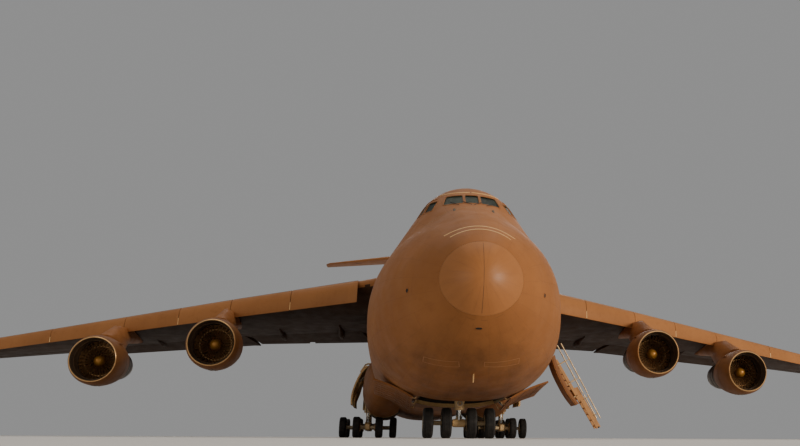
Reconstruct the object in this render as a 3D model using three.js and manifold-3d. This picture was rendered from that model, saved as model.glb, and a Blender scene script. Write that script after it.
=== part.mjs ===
// Half-size model of a four-engine, high-wing, T-tailed military transport plane, parked on its gear.
// Every dimension below is in metres on the full-size plane: x to the plane's left (port) side, y aft from the nose tip, z up from the ground.
// P() turns them into model millimetres: half size, with the origin on the ground under the middle of the length.
import * as THREE from "three";
import { mergeVertices } from "three/addons/utils/BufferGeometryUtils.js";
import Module from "manifold-3d";

const wasm = await Module();
wasm.setup();

// ---------- driving dimensions ----------
const SCALE = 0.5; // model size over real size
const K = 1000 * SCALE; // model millimetres for each real metre
const LENGTH = 75.54;
const Y0 = LENGTH / 2;
const FIT = 0.001; // real metres, 0.5 mm on the model: gap between pieces that touch
const RUN = 0.014; // 7 mm on the model: gap round a moving piece
const SKIN = 0.16; // fuselage wall, frames included
const FLOOR_TOP = 2.65,
  FLOOR_BOTTOM = 2.35,
  DECK_TOP = 7.05,
  DECK_BOTTOM = 6.85;
const VISOR_HINGE = { y: 4.6, z: 8.8 },
  VISOR_FOOT = { y: 6.9, z: 1.3 };
const TYRE_R = 0.6225,
  TYRE_W = 0.43,
  AXLE_R = 0.1,
  WHEEL_SIDES = 12;
const NOSE_GEAR_Y = 9.2,
  NOSE_WHEELS_X = [-1.28, -0.52, 0.52, 1.28];
const MAIN_X = 4.1,
  MAIN_Y = [28.57, 34.16],
  BOGIE_HALF = 0.83,
  TWIN_X = [-0.67, 0.67],
  QUAD_X = [-1.54, -0.67, 0.67, 1.54];
const DOOR = { y0: 8.85, y1: 9.85, hingeX: 3.81, hingeZ: 3.42, reach: 2.33, swing: 150 };
const LADDER = { slope: [0.518, -0.856], top: [4.95, 2.13], length: 1.94 };
const ENGINES = [
  // x, inlet y, axis z
  [-19.15, 24.45, 4.16],
  [-12.4, 21.3, 4.92],
  [12.4, 21.3, 4.92],
  [19.15, 24.45, 4.16],
];
const FAN_BLADES = 12;

// Fuselage stations. y, half width, height of the widest line, belly height, crown height, crown lobe radius, belly squareness
const BODY = [
  [0, 0, 5.2, 5.2, 5.2, 0, 2],
  [0.5, 1.08, 5.18, 4.05, 6.38, 0.95, 2],
  [1, 1.58, 5.15, 3.5, 6.88, 1.4, 2.05],
  [2, 2.34, 5.08, 2.78, 7.5, 1.8, 2.15],
  [3.5, 3.08, 5.0, 2.12, 8.24, 2.0, 2.3],
  [5, 3.52, 4.95, 1.76, 8.96, 2.1, 2.4],
  [6, 3.72, 4.92, 1.62, 9.61, 2.16, 2.45],
  [7, 3.85, 4.9, 1.52, 10.15, 2.2, 2.5],
  [8, 3.93, 4.9, 1.45, 10.42, 2.22, 2.5],
  [9, 3.96, 4.9, 1.4, 10.5, 2.22, 2.5],
  [12, 3.98, 4.9, 1.33, 10.53, 2.22, 2.5],
  [44, 3.98, 4.9, 1.33, 10.53, 2.22, 2.5],
  [48, 3.95, 4.98, 1.55, 10.53, 2.22, 2.5],
  [52, 3.8, 5.42, 2.3, 10.5, 2.2, 2.4],
  [56, 3.48, 6.12, 3.5, 10.46, 2.1, 2.3],
  [60, 3.0, 7.0, 4.85, 10.38, 2.0, 2.2],
  [64, 2.35, 7.9, 6.12, 10.2, 1.8, 2.1],
  [67.5, 1.6, 8.5, 7.2, 9.92, 1.3, 2],
  [70.3, 0.4, 8.85, 8.42, 9.28, 0.4, 2],
];
// Landing-gear pod stations. y, half width, half height (about x 3.2, z 3.0)
const POD_X = 3.2,
  POD_Z = 3.0;
const POD = [
  [21.2, 0.05, 0.05],
  [22.2, 0.6, 0.85],
  [24.5, 1.05, 1.5],
  [27, 1.27, 1.8],
  [29, 1.32, 1.86],
  [35, 1.32, 1.86],
  [38, 1.2, 1.6],
  [41, 0.8, 1.0],
  [43.2, 0.05, 0.05],
];
// Wing stations. x, leading-edge y, chord, leading-edge z, drop of the trailing edge over the chord, thickness over the chord
const WING = [
  [1.5, 20.974, 13.246, 8.82, 0.139, 0.125],
  [12.2, 26.495, 9.005, 7.754, 0.134, 0.118],
  [33.0, 37.228, 4.843, 5.474, 0.0525, 0.11],
  [33.95, 38.2, 3.2, 5.41, 0.05, 0.1],
];

// ---------- shapes ----------
const V = (x, y, z) => new THREE.Vector3(x, y, z);
const P = (x, y, z) => V(x * K, (y - Y0) * K, z * K);
const lerp = (a, b, t) => a + (b - a) * t;

// A row of the table at y: a smooth monotone curve through the rows, taken over the square root of y so that the nose is blunt.
function station(table, y, root = true) {
  const u = root ? Math.sqrt : (v) => v;
  const x = table.map((r) => u(r[0])),
    t = u(y),
    n = table.length;
  let i = 0;
  while (i < n - 2 && t > x[i + 1]) i++;
  return table[0].map((_, c) => {
    if (c === 0) return y;
    const f = (k) => table[k][c],
      d = (k) => (f(k + 1) - f(k)) / (x[k + 1] - x[k]);
    const m = (k) => {
      if (k === 0) return d(0);
      if (k === n - 1) return d(n - 2);
      const a = d(k - 1),
        b = d(k);
      if (a * b <= 0) return 0;
      const h0 = x[k] - x[k - 1],
        h1 = x[k + 1] - x[k],
        w1 = 2 * h1 + h0,
        w2 = h1 + 2 * h0;
      return (w1 + w2) / (w1 / a + w2 / b);
    };
    const h = x[i + 1] - x[i],
      s = (t - x[i]) / h,
      s2 = s * s,
      s3 = s2 * s;
    return (
      (2 * s3 - 3 * s2 + 1) * f(i) +
      (s3 - 2 * s2 + s) * h * m(i) +
      (-2 * s3 + 3 * s2) * f(i + 1) +
      (s3 - s2) * h * m(i + 1)
    );
  });
}

// One closed ring of the fuselage at y, drawn in by inset: a squared lower half, then the hull of the wide lobe and the crown lobe.
function bodyRing(y, inset = 0, low = 5, high = 7) {
  let [, w, zc, zb, zt, rt, n] = station(BODY, y);
  w -= inset;
  zb += inset;
  zt -= inset;
  rt = Math.min(rt - inset, zt - zc);
  const a = Math.min(w, zt - zc),
    d = zc - zb;
  const half = [];
  for (let k = 0; k < low; k++) {
    const t = ((k / low) * Math.PI) / 2;
    half.push([w * Math.pow(Math.sin(t), 2 / n), zc - d * Math.pow(Math.cos(t), 2 / n)]);
  }
  for (let k = 0; k <= high; k++) {
    const t = ((k / high) * Math.PI) / 2,
      c = Math.cos(t),
      s = Math.sin(t);
    const h1 = Math.hypot(w * c, a * s),
      h2 = (zt - rt - zc) * s + rt;
    half.push(h1 >= h2 ? [(w * w * c) / h1, zc + (a * a * s) / h1] : [rt * c, zt - rt + rt * s]);
  }
  half[half.length - 1][0] = 0;
  const ring = half.map(([x, z]) => P(x, y, z));
  for (let k = half.length - 2; k > 0; k--) ring.push(P(-half[k][0], y, half[k][1]));
  return ring;
}

function podRing(y, inset = 0) {
  const [, wx, hz] = station(POD, y, false);
  const ring = [];
  for (let k = 0; k < 16; k++) {
    const t = (k / 16) * 2 * Math.PI,
      c = Math.cos(t),
      s = Math.sin(t),
      e = 2 / 2.4;
    ring.push(
      P(
        POD_X + Math.max(0.01, wx - inset) * Math.sign(c) * Math.pow(Math.abs(c), e),
        y,
        POD_Z + Math.max(0.01, hz - inset) * Math.sign(s) * Math.pow(Math.abs(s), e),
      ),
    );
  }
  return ring;
}

// Symmetric section with a blunt trailing edge, as [share of chord, height over chord], once round from the trailing edge over the top.
function section(t, n = 9) {
  const h = (x) =>
    5 * t * (0.2969 * Math.sqrt(x) - 0.126 * x - 0.3516 * x * x + 0.2843 * x ** 3 - 0.1015 * x ** 4) + 0.0015 * x;
  const out = [];
  for (let k = 0; k <= n; k++) {
    const x = 0.5 * (1 + Math.cos((k / n) * Math.PI));
    out.push([x, h(x)]);
  }
  for (let k = 1; k <= n; k++) {
    const x = 0.5 * (1 - Math.cos((k / n) * Math.PI));
    out.push([x, -h(x)]);
  }
  return out;
}
const wingAt = (x) => station(WING, x, false).map((v, c) => (c ? v : x));
function wingRow(x) {
  let i = 0;
  while (i < WING.length - 2 && x > WING[i + 1][0]) i++;
  const t = (x - WING[i][0]) / (WING[i + 1][0] - WING[i][0]);
  return WING[i].map((v, c) => lerp(v, WING[i + 1][c], t));
}

// Solid through closed rings of equal count, flat ends.
function loft(rings) {
  const n = rings[0].length,
    pos = [],
    idx = [];
  rings.forEach((r) => r.forEach((p) => pos.push(p.x, p.y, p.z)));
  for (let i = 0; i + 1 < rings.length; i++)
    for (let k = 0; k < n; k++) {
      const a = i * n + k,
        b = i * n + ((k + 1) % n),
        c = a + n,
        d = b + n;
      idx.push(a, b, d, a, d, c);
    }
  const cap = (base, flip) => {
    const ring = rings[base / n];
    const m = ring.reduce((s, p) => s.add(p), V(0, 0, 0)).divideScalar(n);
    const nrm = V(0, 0, 0);
    for (let k = 0; k < n; k++)
      nrm.add(
        ring[k]
          .clone()
          .sub(m)
          .cross(ring[(k + 1) % n].clone().sub(m)),
      );
    nrm.normalize();
    const ax = Math.abs(nrm.x) < 0.8 ? V(1, 0, 0) : V(0, 1, 0);
    const u = ax.sub(nrm.clone().multiplyScalar(ax.dot(nrm))).normalize(),
      v = nrm.clone().cross(u);
    const flat = ring.map((p) => new THREE.Vector2(p.clone().sub(m).dot(u), p.clone().sub(m).dot(v)));
    for (const [a, b, c] of THREE.ShapeUtils.triangulateShape(flat, []))
      flip ? idx.push(base + a, base + c, base + b) : idx.push(base + a, base + b, base + c);
  };
  cap(0, true);
  cap((rings.length - 1) * n, false);
  const g = new THREE.BufferGeometry();
  g.setAttribute("position", new THREE.Float32BufferAttribute(pos, 3));
  g.setIndex(idx);
  return solid(g);
}

function signedVolume(p, t) {
  let v = 0;
  for (let i = 0; i < t.length; i += 3) {
    const [a, b, c] = [t[i] * 3, t[i + 1] * 3, t[i + 2] * 3];
    v +=
      p[a] * (p[b + 1] * p[c + 2] - p[b + 2] * p[c + 1]) -
      p[a + 1] * (p[b] * p[c + 2] - p[b + 2] * p[c]) +
      p[a + 2] * (p[b] * p[c + 1] - p[b + 1] * p[c]);
  }
  return v;
}
function solid(geometry) {
  const g = geometry.index ? geometry.toNonIndexed() : geometry;
  const bare = new THREE.BufferGeometry().setAttribute("position", g.getAttribute("position"));
  const m = mergeVertices(bare, 1e-3),
    p = m.attributes.position.array,
    t = new Uint32Array(m.index.array);
  if (signedVolume(p, t) < 0) for (let i = 0; i < t.length; i += 3) [t[i + 1], t[i + 2]] = [t[i + 2], t[i + 1]];
  return new wasm.Manifold(new wasm.Mesh({ numProp: 3, vertProperties: p, triVerts: t }));
}
// The solid moved by a matrix, given in model millimetres. A mirror is allowed.
function moved(s, matrix) {
  const m = s.getMesh(),
    n = m.numProp,
    p = new Float32Array(m.numVert * 3),
    v = V(0, 0, 0);
  for (let i = 0; i < m.numVert; i++) {
    v.set(m.vertProperties[i * n], m.vertProperties[i * n + 1], m.vertProperties[i * n + 2]).applyMatrix4(matrix);
    p.set([v.x, v.y, v.z], i * 3);
  }
  const t = new Uint32Array(m.triVerts);
  if (matrix.determinant() < 0) for (let i = 0; i < t.length; i += 3) [t[i + 1], t[i + 2]] = [t[i + 2], t[i + 1]];
  return new wasm.Manifold(new wasm.Mesh({ numProp: 3, vertProperties: p, triVerts: t }));
}
const shifted = (s, x, y, z) => moved(s, new THREE.Matrix4().makeTranslation(x * K, y * K, z * K));
const mirrored = (s) => moved(s, new THREE.Matrix4().makeScale(-1, 1, 1));
function turned(s, point, axis, degrees) {
  const c = P(...point);
  const m = new THREE.Matrix4()
    .makeTranslation(c.x, c.y, c.z)
    .multiply(new THREE.Matrix4().makeRotationAxis(V(...axis).normalize(), (degrees * Math.PI) / 180))
    .multiply(new THREE.Matrix4().makeTranslation(-c.x, -c.y, -c.z));
  return moved(s, m);
}
const box = (x0, x1, y0, y1, z0, z1) => {
  const g = new THREE.BoxGeometry((x1 - x0) * K, (y1 - y0) * K, (z1 - z0) * K);
  const c = P((x0 + x1) / 2, (y0 + y1) / 2, (z0 + z1) / 2);
  g.translate(c.x, c.y, c.z);
  return solid(g);
};
// Rod from a to b, radius r0 at a and r1 at b.
function rod(a, b, r0, r1 = r0, sides = 10) {
  const p = P(...a),
    q = P(...b),
    d = q.clone().sub(p),
    g = new THREE.CylinderGeometry(r1 * K, r0 * K, d.length(), sides);
  g.applyQuaternion(new THREE.Quaternion().setFromUnitVectors(V(0, 1, 0), d.clone().normalize()));
  const c = p.add(q).multiplyScalar(0.5);
  g.translate(c.x, c.y, c.z);
  return solid(g);
}
// Plate with the outline [y, z] of a side view, from x0 to x1.
const sidePlate = (outline, x0, x1) => loft([outline.map(([y, z]) => P(x0, y, z)), outline.map(([y, z]) => P(x1, y, z))]);
// Solid of revolution about a line along y through (x, z): profile of [distance aft of y, radius], closed on itself or on the axis.
function turnedAboutY(profile, x, y, z, sides) {
  const g = new THREE.LatheGeometry(
    profile.map(([a, r]) => new THREE.Vector2(r * K, a * K)),
    sides,
  );
  const c = P(x, y, z);
  g.translate(c.x, c.y, c.z);
  return solid(g);
}
// The same about a line along x, with a flat side down.
function turnedAboutX(profile, x, y, z, sides) {
  const g = new THREE.LatheGeometry(
    profile.map(([a, r]) => new THREE.Vector2(r * K, a * K)),
    sides,
    Math.PI / sides,
  );
  g.rotateZ(-Math.PI / 2);
  const c = P(x, y, z);
  g.translate(c.x, c.y, c.z);
  return solid(g);
}
const join = (...s) => s.reduce((a, b) => a.add(b));
// a without b and without a thin layer round b.
function cut(a, b, gap = FIT) {
  let r = a.subtract(b);
  for (const [x, y, z] of [
    [1, 0, 0],
    [-1, 0, 0],
    [0, 1, 0],
    [0, -1, 0],
    [0, 0, 1],
    [0, 0, -1],
  ])
    r = r.subtract(shifted(b, x * gap, y * gap, z * gap));
  return biggest(r);
}
const biggest = (s) => s.decompose().reduce((a, b) => (b.volume() > a.volume() ? b : a));

// ---------- materials ----------
const paint = (color, roughness, metalness) => new THREE.MeshStandardMaterial({ color, roughness, metalness });
const GREY = paint(0x8f8276, 0.6, 0.15),
  RADOME = paint(0x9a8d80, 0.55, 0.05),
  DARK = paint(0x4a4541, 0.7, 0.1),
  RUBBER = paint(0x1c1a19, 0.9, 0),
  STEEL = paint(0xb9b3aa, 0.3, 0.9),
  WHITE = paint(0xd8d2c4, 0.5, 0.1),
  GLASS = paint(0x20303a, 0.1, 0.2),
  FLOORING = paint(0x6f6b62, 0.7, 0.3);

const plane = new THREE.Group();
function place(name, s, material) {
  const m = s.getMesh(),
    n = m.numProp,
    p = new Float32Array(m.numVert * 3);
  for (let i = 0; i < m.numVert; i++) p.set(m.vertProperties.subarray(i * n, i * n + 3), i * 3);
  const g = new THREE.BufferGeometry();
  g.setAttribute("position", new THREE.BufferAttribute(p, 3));
  g.setIndex(new THREE.BufferAttribute(new Uint32Array(m.triVerts), 1));
  g.computeVertexNormals();
  const mesh = new THREE.Mesh(g, material);
  mesh.name = name;
  plane.add(mesh);
}
const SIDES = [
  ["left", 1],
  ["right", -1],
];

// ---------- fuselage ----------
const OUTER_Y = [0.002, 0.1, 0.5, 1, 2, 3.5, 5, 5.5, 6, 7, 8, 9, 12, 44, 48, 52, 56, 60, 64, 67.5, 70.3];
const hull = (inset) => loft(OUTER_Y.map((y) => bodyRing(y, inset)));
const outer = hull(0),
  outerFit = hull(-FIT),
  outerRun = hull(-RUN);
const within = (inset) =>
  loft([0.25, 0.5, 1, 2, 3.5, 5, 5.5, 6, 7, 8, 9, 12, 44, 48, 52, 56, 60, 64, 67.5, 69].map((y) => bodyRing(y, inset)));
const inner = within(SKIN);
const shell = outer.subtract(inner);

// Everything in front of the visor's break, moved aft by d.
const slope = (VISOR_FOOT.y - VISOR_HINGE.y) / (VISOR_HINGE.z - VISOR_FOOT.z);
const breakY = (z) => VISOR_HINGE.y + (VISOR_HINGE.z - z) * slope;
const ahead = (d) =>
  sidePlate(
    [
      [-2, 12],
      [breakY(12) + d, 12],
      [breakY(0) + d, 0],
      [-2, 0],
    ],
    -6,
    6,
  );
const noseShell = shell.intersect(ahead(-RUN));
const RADOME_EDGE = { x: 1.44, z: 1.28, at: 5.27 };
const radomeCut = (g) =>
  loft(
    [-1, 3].map((y) =>
      Array.from({ length: 28 }, (_, k) => {
        const t = (k / 28) * 2 * Math.PI;
        return P((RADOME_EDGE.x + g) * Math.cos(t), y, RADOME_EDGE.at + (RADOME_EDGE.z + g) * Math.sin(t));
      }),
    ),
  );
place("visor", biggest(noseShell.subtract(radomeCut(2 * FIT))), GREY);
place("radome", biggest(noseShell.intersect(radomeCut(0))), RADOME);

// Crew door: a piece of the left wall, closed shape.
const doorWedge = (grow, top) =>
  box(3.0, 4.4, DOOR.y0 - grow, DOOR.y1 + grow, DOOR.hingeZ + 0.03 - grow, DOOR.hingeZ + top + grow);
const doorClosed = shell.intersect(doorWedge(0, DOOR.reach - 0.02));

// Windows of the flight deck.
const FRONT_PANES = [
    [-1.12, -0.42],
    [-0.28, 0.28],
    [0.42, 1.12],
  ],
  SIDE_PANES = [
    [6.1, 6.75],
    [6.9, 7.55],
  ];
const NOSE_BAY = { x: 1.75, y0: 7.75, y1: 11.65, doorThickness: 0.07, doorSwing: 198, doorDrop: 4 };
let front = shell
  .subtract(ahead(0))
  .intersect(box(-6, 6, 3, 21.4, 0, 12))
  .subtract(doorWedge(RUN, DOOR.reach + 0.02))
  .subtract(box(-NOSE_BAY.x, NOSE_BAY.x, NOSE_BAY.y0, NOSE_BAY.y1, 0, 2.2));
for (const [a, b] of FRONT_PANES) front = front.subtract(box(a, b, 5, 7.2, 9.12, 9.54));
for (const [a, b] of SIDE_PANES) front = front.subtract(box(-3, 3, a, b, 8.75, 9.2));
place("fuselage_front", biggest(front), GREY);
const glassBand = within(SKIN + 2 * FIT)
  .subtract(within(SKIN + 0.05))
  .intersect(box(-3, 3, 5.3, 7.7, 8.65, 9.63));
place("flight_deck_glass", biggest(glassBand), GLASS);

place("fuselage_center", shell.intersect(box(-6, 6, 21.4 + FIT, 36, 0, 12)), GREY);
// Rear: the ramp and the two side doors are cut from the belly.
const RAMP = { x: 2.74, hinge: [0, 46, 1.3], endY: 51.42, topY: 51.05, topZ: 3.22 };
const PETAL = { x: 2.72, y0: 51.5, y1: 59, z0: 3.2, z1: 6.0 };
// The aft end is cut square to the hinge line, which climbs 0.3555 for each metre aft.
const petalSide = (g) => [
  [PETAL.y0 - g, 0],
  [PETAL.y1 + g + 0.3555 * (PETAL.z1 + g), 0],
  [PETAL.y1 + g, PETAL.z1 + g],
  [PETAL.y0 - g, PETAL.z0 + g],
];
const rear = shell
  .intersect(box(-6, 6, 36 + FIT, 60, 0, 12))
  .subtract(box(-RAMP.x - RUN, RAMP.x + RUN, RAMP.hinge[1] - RUN, PETAL.y0, 0, 3.6))
  .subtract(sidePlate(petalSide(RUN), -PETAL.x - RUN, PETAL.x + RUN));
place("fuselage_rear", biggest(rear), GREY);
place("tail_cone", biggest(shell.intersect(box(-6, 6, 60 + FIT, 71, 0, 12))), GREY);
place(
  "rear_ramp",
  biggest(
    outer.intersect(
      sidePlate(
        [
          [RAMP.hinge[1], FLOOR_TOP - 0.01],
          [RAMP.hinge[1], 0],
          [RAMP.endY + 0.25, 0],
          [RAMP.endY, 2.1],
          [RAMP.topY, RAMP.topZ],
        ],
        -RAMP.x,
        RAMP.x,
      ),
    ),
  ),
  GREY,
);
const petal = biggest(shell.intersect(sidePlate(petalSide(0), RUN, PETAL.x)));
place("rear_side_door_left", petal, GREY);
place("rear_side_door_right", mirrored(petal), GREY);

const FRONT_RAMP = { y: 6.6, z: 2.6 };
// Floors, wall to wall, with the box of the nose gear bay under the front end.
const room = within(SKIN + 2 * FIT);
const bay = room
  .intersect(box(-NOSE_BAY.x - 0.12, NOSE_BAY.x + 0.12, NOSE_BAY.y0 - 0.12, NOSE_BAY.y1 + 0.12, 1, FLOOR_BOTTOM + 0.01))
  .subtract(box(-NOSE_BAY.x, NOSE_BAY.x, NOSE_BAY.y0, NOSE_BAY.y1, 0, FLOOR_BOTTOM - 0.02));
place(
  "cargo_floor",
  biggest(
    room
      .intersect(box(-6, 6, FRONT_RAMP.y + 0.2, RAMP.hinge[1] - RUN, FLOOR_BOTTOM, FLOOR_TOP))
      .add(bay),
  ),
  FLOORING,
);
place("upper_deck", biggest(room.intersect(box(-6, 6, 6.4, 47, DECK_BOTTOM, DECK_TOP))), FLOORING);

// Front ramp, stowed upright behind the visor.
place(
  "front_ramp",
  join(
    box(-2.6, 2.6, FRONT_RAMP.y - 0.03, FRONT_RAMP.y + 0.23, FRONT_RAMP.z + 0.12, 6.7),
    box(-2.3, -2.0, FRONT_RAMP.y - 0.1, FRONT_RAMP.y + 0.1, FRONT_RAMP.z - 0.1, FRONT_RAMP.z + 0.2),
    box(2.0, 2.3, FRONT_RAMP.y - 0.1, FRONT_RAMP.y + 0.1, FRONT_RAMP.z - 0.1, FRONT_RAMP.z + 0.2),
  ),
  FLOORING,
);

// Crew door, hanging open on its bottom hinge, with the fixed upper handrails.
const alongLadder = (t, lift) => [
  LADDER.top[0] + LADDER.slope[0] * t - LADDER.slope[1] * lift,
  LADDER.top[1] + LADDER.slope[1] * t + LADDER.slope[0] * lift,
];
const mid = (DOOR.y0 + DOOR.y1) / 2;
let crewDoor = turned(biggest(doorClosed), [DOOR.hingeX, mid, DOOR.hingeZ], [0, 1, 0], DOOR.swing);
for (const s of [-1, 1]) {
  const a = alongLadder(-1.75, 0.58),
    b = alongLadder(0.1, 0.58),
    y = mid + s * 0.44;
  crewDoor = join(
    crewDoor,
    rod([a[0], y, a[1]], [b[0], y, b[1]], 0.024, 0.024, 4),
    ...[-1.2, -0.3].map((t) => {
      const p = alongLadder(t, 0.59),
        q = alongLadder(t, -0.28);
      return rod([p[0], y, p[1]], [q[0], y, q[1]], 0.02, 0.02, 4);
    }),
  );
}
for (const s of [-1, 1]) {
  const a = alongLadder(-1.45, 0.02),
    b = alongLadder(0.5, 0.02),
    y = mid + s * 0.325;
  crewDoor = join(
    crewDoor,
    rod([a[0], y, a[1]], [b[0], y, b[1]], 0.03, 0.03, 4),
    ...[-1.2, 0.3].map((t) => {
      const p = alongLadder(t, 0.02),
        q = alongLadder(t, -0.3);
      return rod([p[0], y, p[1]], [q[0], y, q[1]], 0.03, 0.03, 4);
    }),
  );
}
place("crew_door", biggest(crewDoor), GREY);
// Ladder that slides up along the door, with the lower handrails.
const ladderParts = [];
for (const s of [-1, 1]) {
  const a = alongLadder(0, 0.02),
    b = alongLadder(LADDER.length, 0.02),
    y = mid + s * 0.24;
  ladderParts.push(rod([a[0], y, a[1]], [b[0], y, b[1]], 0.038, 0.038, 4));
  const c = alongLadder(0.3, 0.58),
    d = alongLadder(1.55, 0.58),
    yr = mid + s * 0.36;
  ladderParts.push(rod([c[0], yr, c[1]], [d[0], yr, d[1]], 0.024, 0.024, 4));
  for (const t of [0.45, 1.4]) {
    const p = alongLadder(t, 0.59),
      q = alongLadder(t, 0.02);
    ladderParts.push(rod([p[0], yr, p[1]], [q[0], y, q[1]], 0.02, 0.02, 4));
  }
}
for (let t = 0.1; t < LADDER.length; t += 0.29) {
  const a = alongLadder(t, 0.02);
  ladderParts.push(box(a[0] - 0.06, a[0] + 0.06, mid - 0.24, mid + 0.24, a[1] - 0.02, a[1] + 0.02));
}
place("crew_ladder", biggest(join(...ladderParts)), STEEL);

// ---------- landing-gear pods ----------
const podFull = loft(POD.map((r) => podRing(r[0])));
const podInner = loft([24.5, 27, 29, 35, 38].map((y) => podRing(y, 0.1)));
let pod = podFull;
const podDoors = [];
for (const y of MAIN_Y) {
  pod = pod.subtract(box(2.2, 6, y - 1.52, y + 1.52, 0, 4.3));
  const panel = podFull.subtract(podInner).intersect(box(4.0, 6, y - 1.45, y + 1.45, 1.75, 4.22));
  podDoors.push(turned(biggest(panel), [4.1, y, 4.5], [0, 1, 0], -20));
  for (const d of [-1, 1])
    podDoors.push(join(rod([4.02, y + d, 4.4], [4.38, y + d, 4.34], 0.07, 0.07, 4), rod([4.36, y + d, 4.36], [4.68, y + d, 3.88], 0.07, 0.07, 4)));
}
pod = biggest(join(pod.subtract(outerFit), ...podDoors));
place("gear_pod_left", pod, GREY);
place("gear_pod_right", mirrored(pod), GREY);

// ---------- wings ----------
const wingRing = (r, n = 9) => section(r[5], n).map(([a, h]) => P(r[0], r[1] + a * r[2], r[3] - r[4] * r[2] * a + h * r[2]));
let wing = loft(WING.map((r) => wingRing(r)));
// A panel behind a hinge line from x0 to x1 at the given share of the chord, cut square to the line. lift moves the line from the middle of the section to its lower skin.
function panel(x0, x1, share, gap, lift) {
  const a = wingRow(x0),
    b = wingRow(x1);
  const at = (r) => V(r[0], r[1] + share * r[2], r[3] - r[4] * r[2] * share + lift * 0.0275 * r[2] * (r[5] / 0.11));
  const p = at(a),
    q = at(b),
    dir = q.clone().sub(p),
    len = dir.length();
  const deg = 180 / Math.PI,
    fall = Math.atan2(-dir.z, Math.hypot(dir.x, dir.y)) * deg,
    sweep = Math.atan2(dir.y, dir.x) * deg;
  const region = (g, fore) => {
    const s = box(p.x - g, p.x + len + g, p.y - fore, p.y + 5, p.z - 3, p.z + 3);
    return turned(turned(s, [p.x, p.y, p.z], [0, 1, 0], fall), [p.x, p.y, p.z], [0, 0, 1], sweep);
  };
  return { p, q, dir, piece: biggest(wing.intersect(region(0, 0))), hole: region(RUN, gap) };
}
// The flaps hang a little down, in degrees.
const DROOP = { flap_inner: 8, flap_outer: 11, aileron: 0 };
const PANELS = {
  flap_inner: panel(4.9, 12.15, 0.75, 0.02, -1),
  flap_outer: panel(12.5, 22.8, 0.75, 0.02, -1),
  aileron: panel(24.0, 32.2, 0.75, 0.135, 0),
};
for (const k in PANELS) wing = wing.subtract(PANELS[k].hole);
// Drooped slats along the leading edge, in one run over the pylons: [ahead of the leading edge, above it] for a lip one metre down.
const SLAT = [
  [0.42, 0.34],
  [0.05, 0.27],
  [-0.24, 0.08],
  [-0.42, -0.25],
  [-0.5, -0.65],
  [-0.5, -1.0],
  [-0.45, -1.0],
  [-0.4, -0.6],
  [-0.28, -0.2],
  [-0.02, 0.0],
  [0.42, 0.12],
];
wing = wing.add(
  loft(
    [4.95, 12.2, 32.9].map((x) => {
      const r = wingRow(x),
        d = 1.08 - 0.0165 * x;
      return SLAT.map(([a, h]) => P(x, r[1] + a * d, r[3] + h * d));
    }),
  ),
);
wing = biggest(wing.subtract(outerFit));
for (const [side, s] of SIDES) {
  const f = s > 0 ? (v) => v : mirrored;
  place("wing_" + side, f(wing), GREY);
  for (const k in PANELS) {
    const { p, dir, piece } = PANELS[k];
    place(k + "_" + side, f(biggest(turned(piece, [p.x, p.y, p.z], [dir.x, dir.y, dir.z], -DROOP[k]).subtract(outerRun))), GREY);
  }
}

// ---------- tail ----------
const finRing = (z, y0, chord, t) => section(t, 7).map(([a, h]) => P(h * chord, y0 + a * chord, z));
const bullet = turnedAboutY(
  [
    [0, 0],
    [0.5, 0.3],
    [1.8, 0.52],
    [5.5, 0.6],
    [8.2, 0.42],
    [9.6, 0],
  ],
  0,
  64.6,
  19.24,
  12,
);
const STAB = [
  // x, leading-edge y, chord, z, thickness over chord
  [0, 66.8, 6.5, 19.42, 0.1],
  [10.1, 72.4, 3.08, 18.98, 0.09],
  [10.47, 72.95, 2.59, 18.96, 0.08],
];
// It is trimmed a little nose down.
const stabZ = (r, a) => r[3] + (a - 0.35) * r[2] * 0.05;
const stabRow = (x) => {
  const i = x > STAB[1][0] ? 1 : 0,
    t = (x - STAB[i][0]) / (STAB[i + 1][0] - STAB[i][0]);
  return STAB[i].map((v, c) => lerp(v, STAB[i + 1][c], t));
};
let stab = loft(STAB.map((r) => section(r[4], 6).map(([a, h]) => P(r[0], r[1] + a * r[2], stabZ(r, a) + h * r[2]))));
const elevatorLine = [stabRow(0.9), stabRow(9.7)].map((r) => V(r[0], r[1] + 0.7 * r[2], stabZ(r, 0.7)));
{
  const [p, q] = elevatorLine,
    len = q.clone().sub(p).length(),
    fall = (Math.atan2(p.z - q.z, Math.hypot(q.x - p.x, q.y - p.y)) * 180) / Math.PI,
    angle = (Math.atan2(q.y - p.y, q.x - p.x) * 180) / Math.PI;
  const region = (g, fore) =>
    turned(
      turned(box(p.x - g, p.x + len + g, p.y - fore, p.y + 4, p.z - 2, p.z + 2), [p.x, p.y, p.z], [0, 1, 0], fall),
      [p.x, p.y, p.z],
      [0, 0, 1],
      angle,
    );
  const elevator = biggest(stab.intersect(region(0, 0)).subtract(shifted(bullet, 0.014, 0, 0)).subtract(bullet));
  stab = stab.subtract(region(RUN, 0.1));
  for (const [side, s] of SIDES) place("elevator_" + side, s > 0 ? elevator : mirrored(elevator), GREY);
}
const tailplane = join(bullet, stab, mirrored(stab));
place("tailplane", biggest(tailplane), GREY);
const FIN = [
  // z, leading-edge y, chord, thickness over chord
  [9.6, 55.4, 11.9, 0.115],
  [19.0, 65.4, 6.9, 0.11],
];
const finRow = (z) => FIN[0].map((v, c) => lerp(v, FIN[1][c], (z - FIN[0][0]) / (FIN[1][0] - FIN[0][0])));
let fin = loft(FIN.map((r) => finRing(r[0], r[1], r[2], r[3])));
const RUDDER = { foot: 10.34, sill: 10.2, top: 18.3, share: 0.7 };
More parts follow.
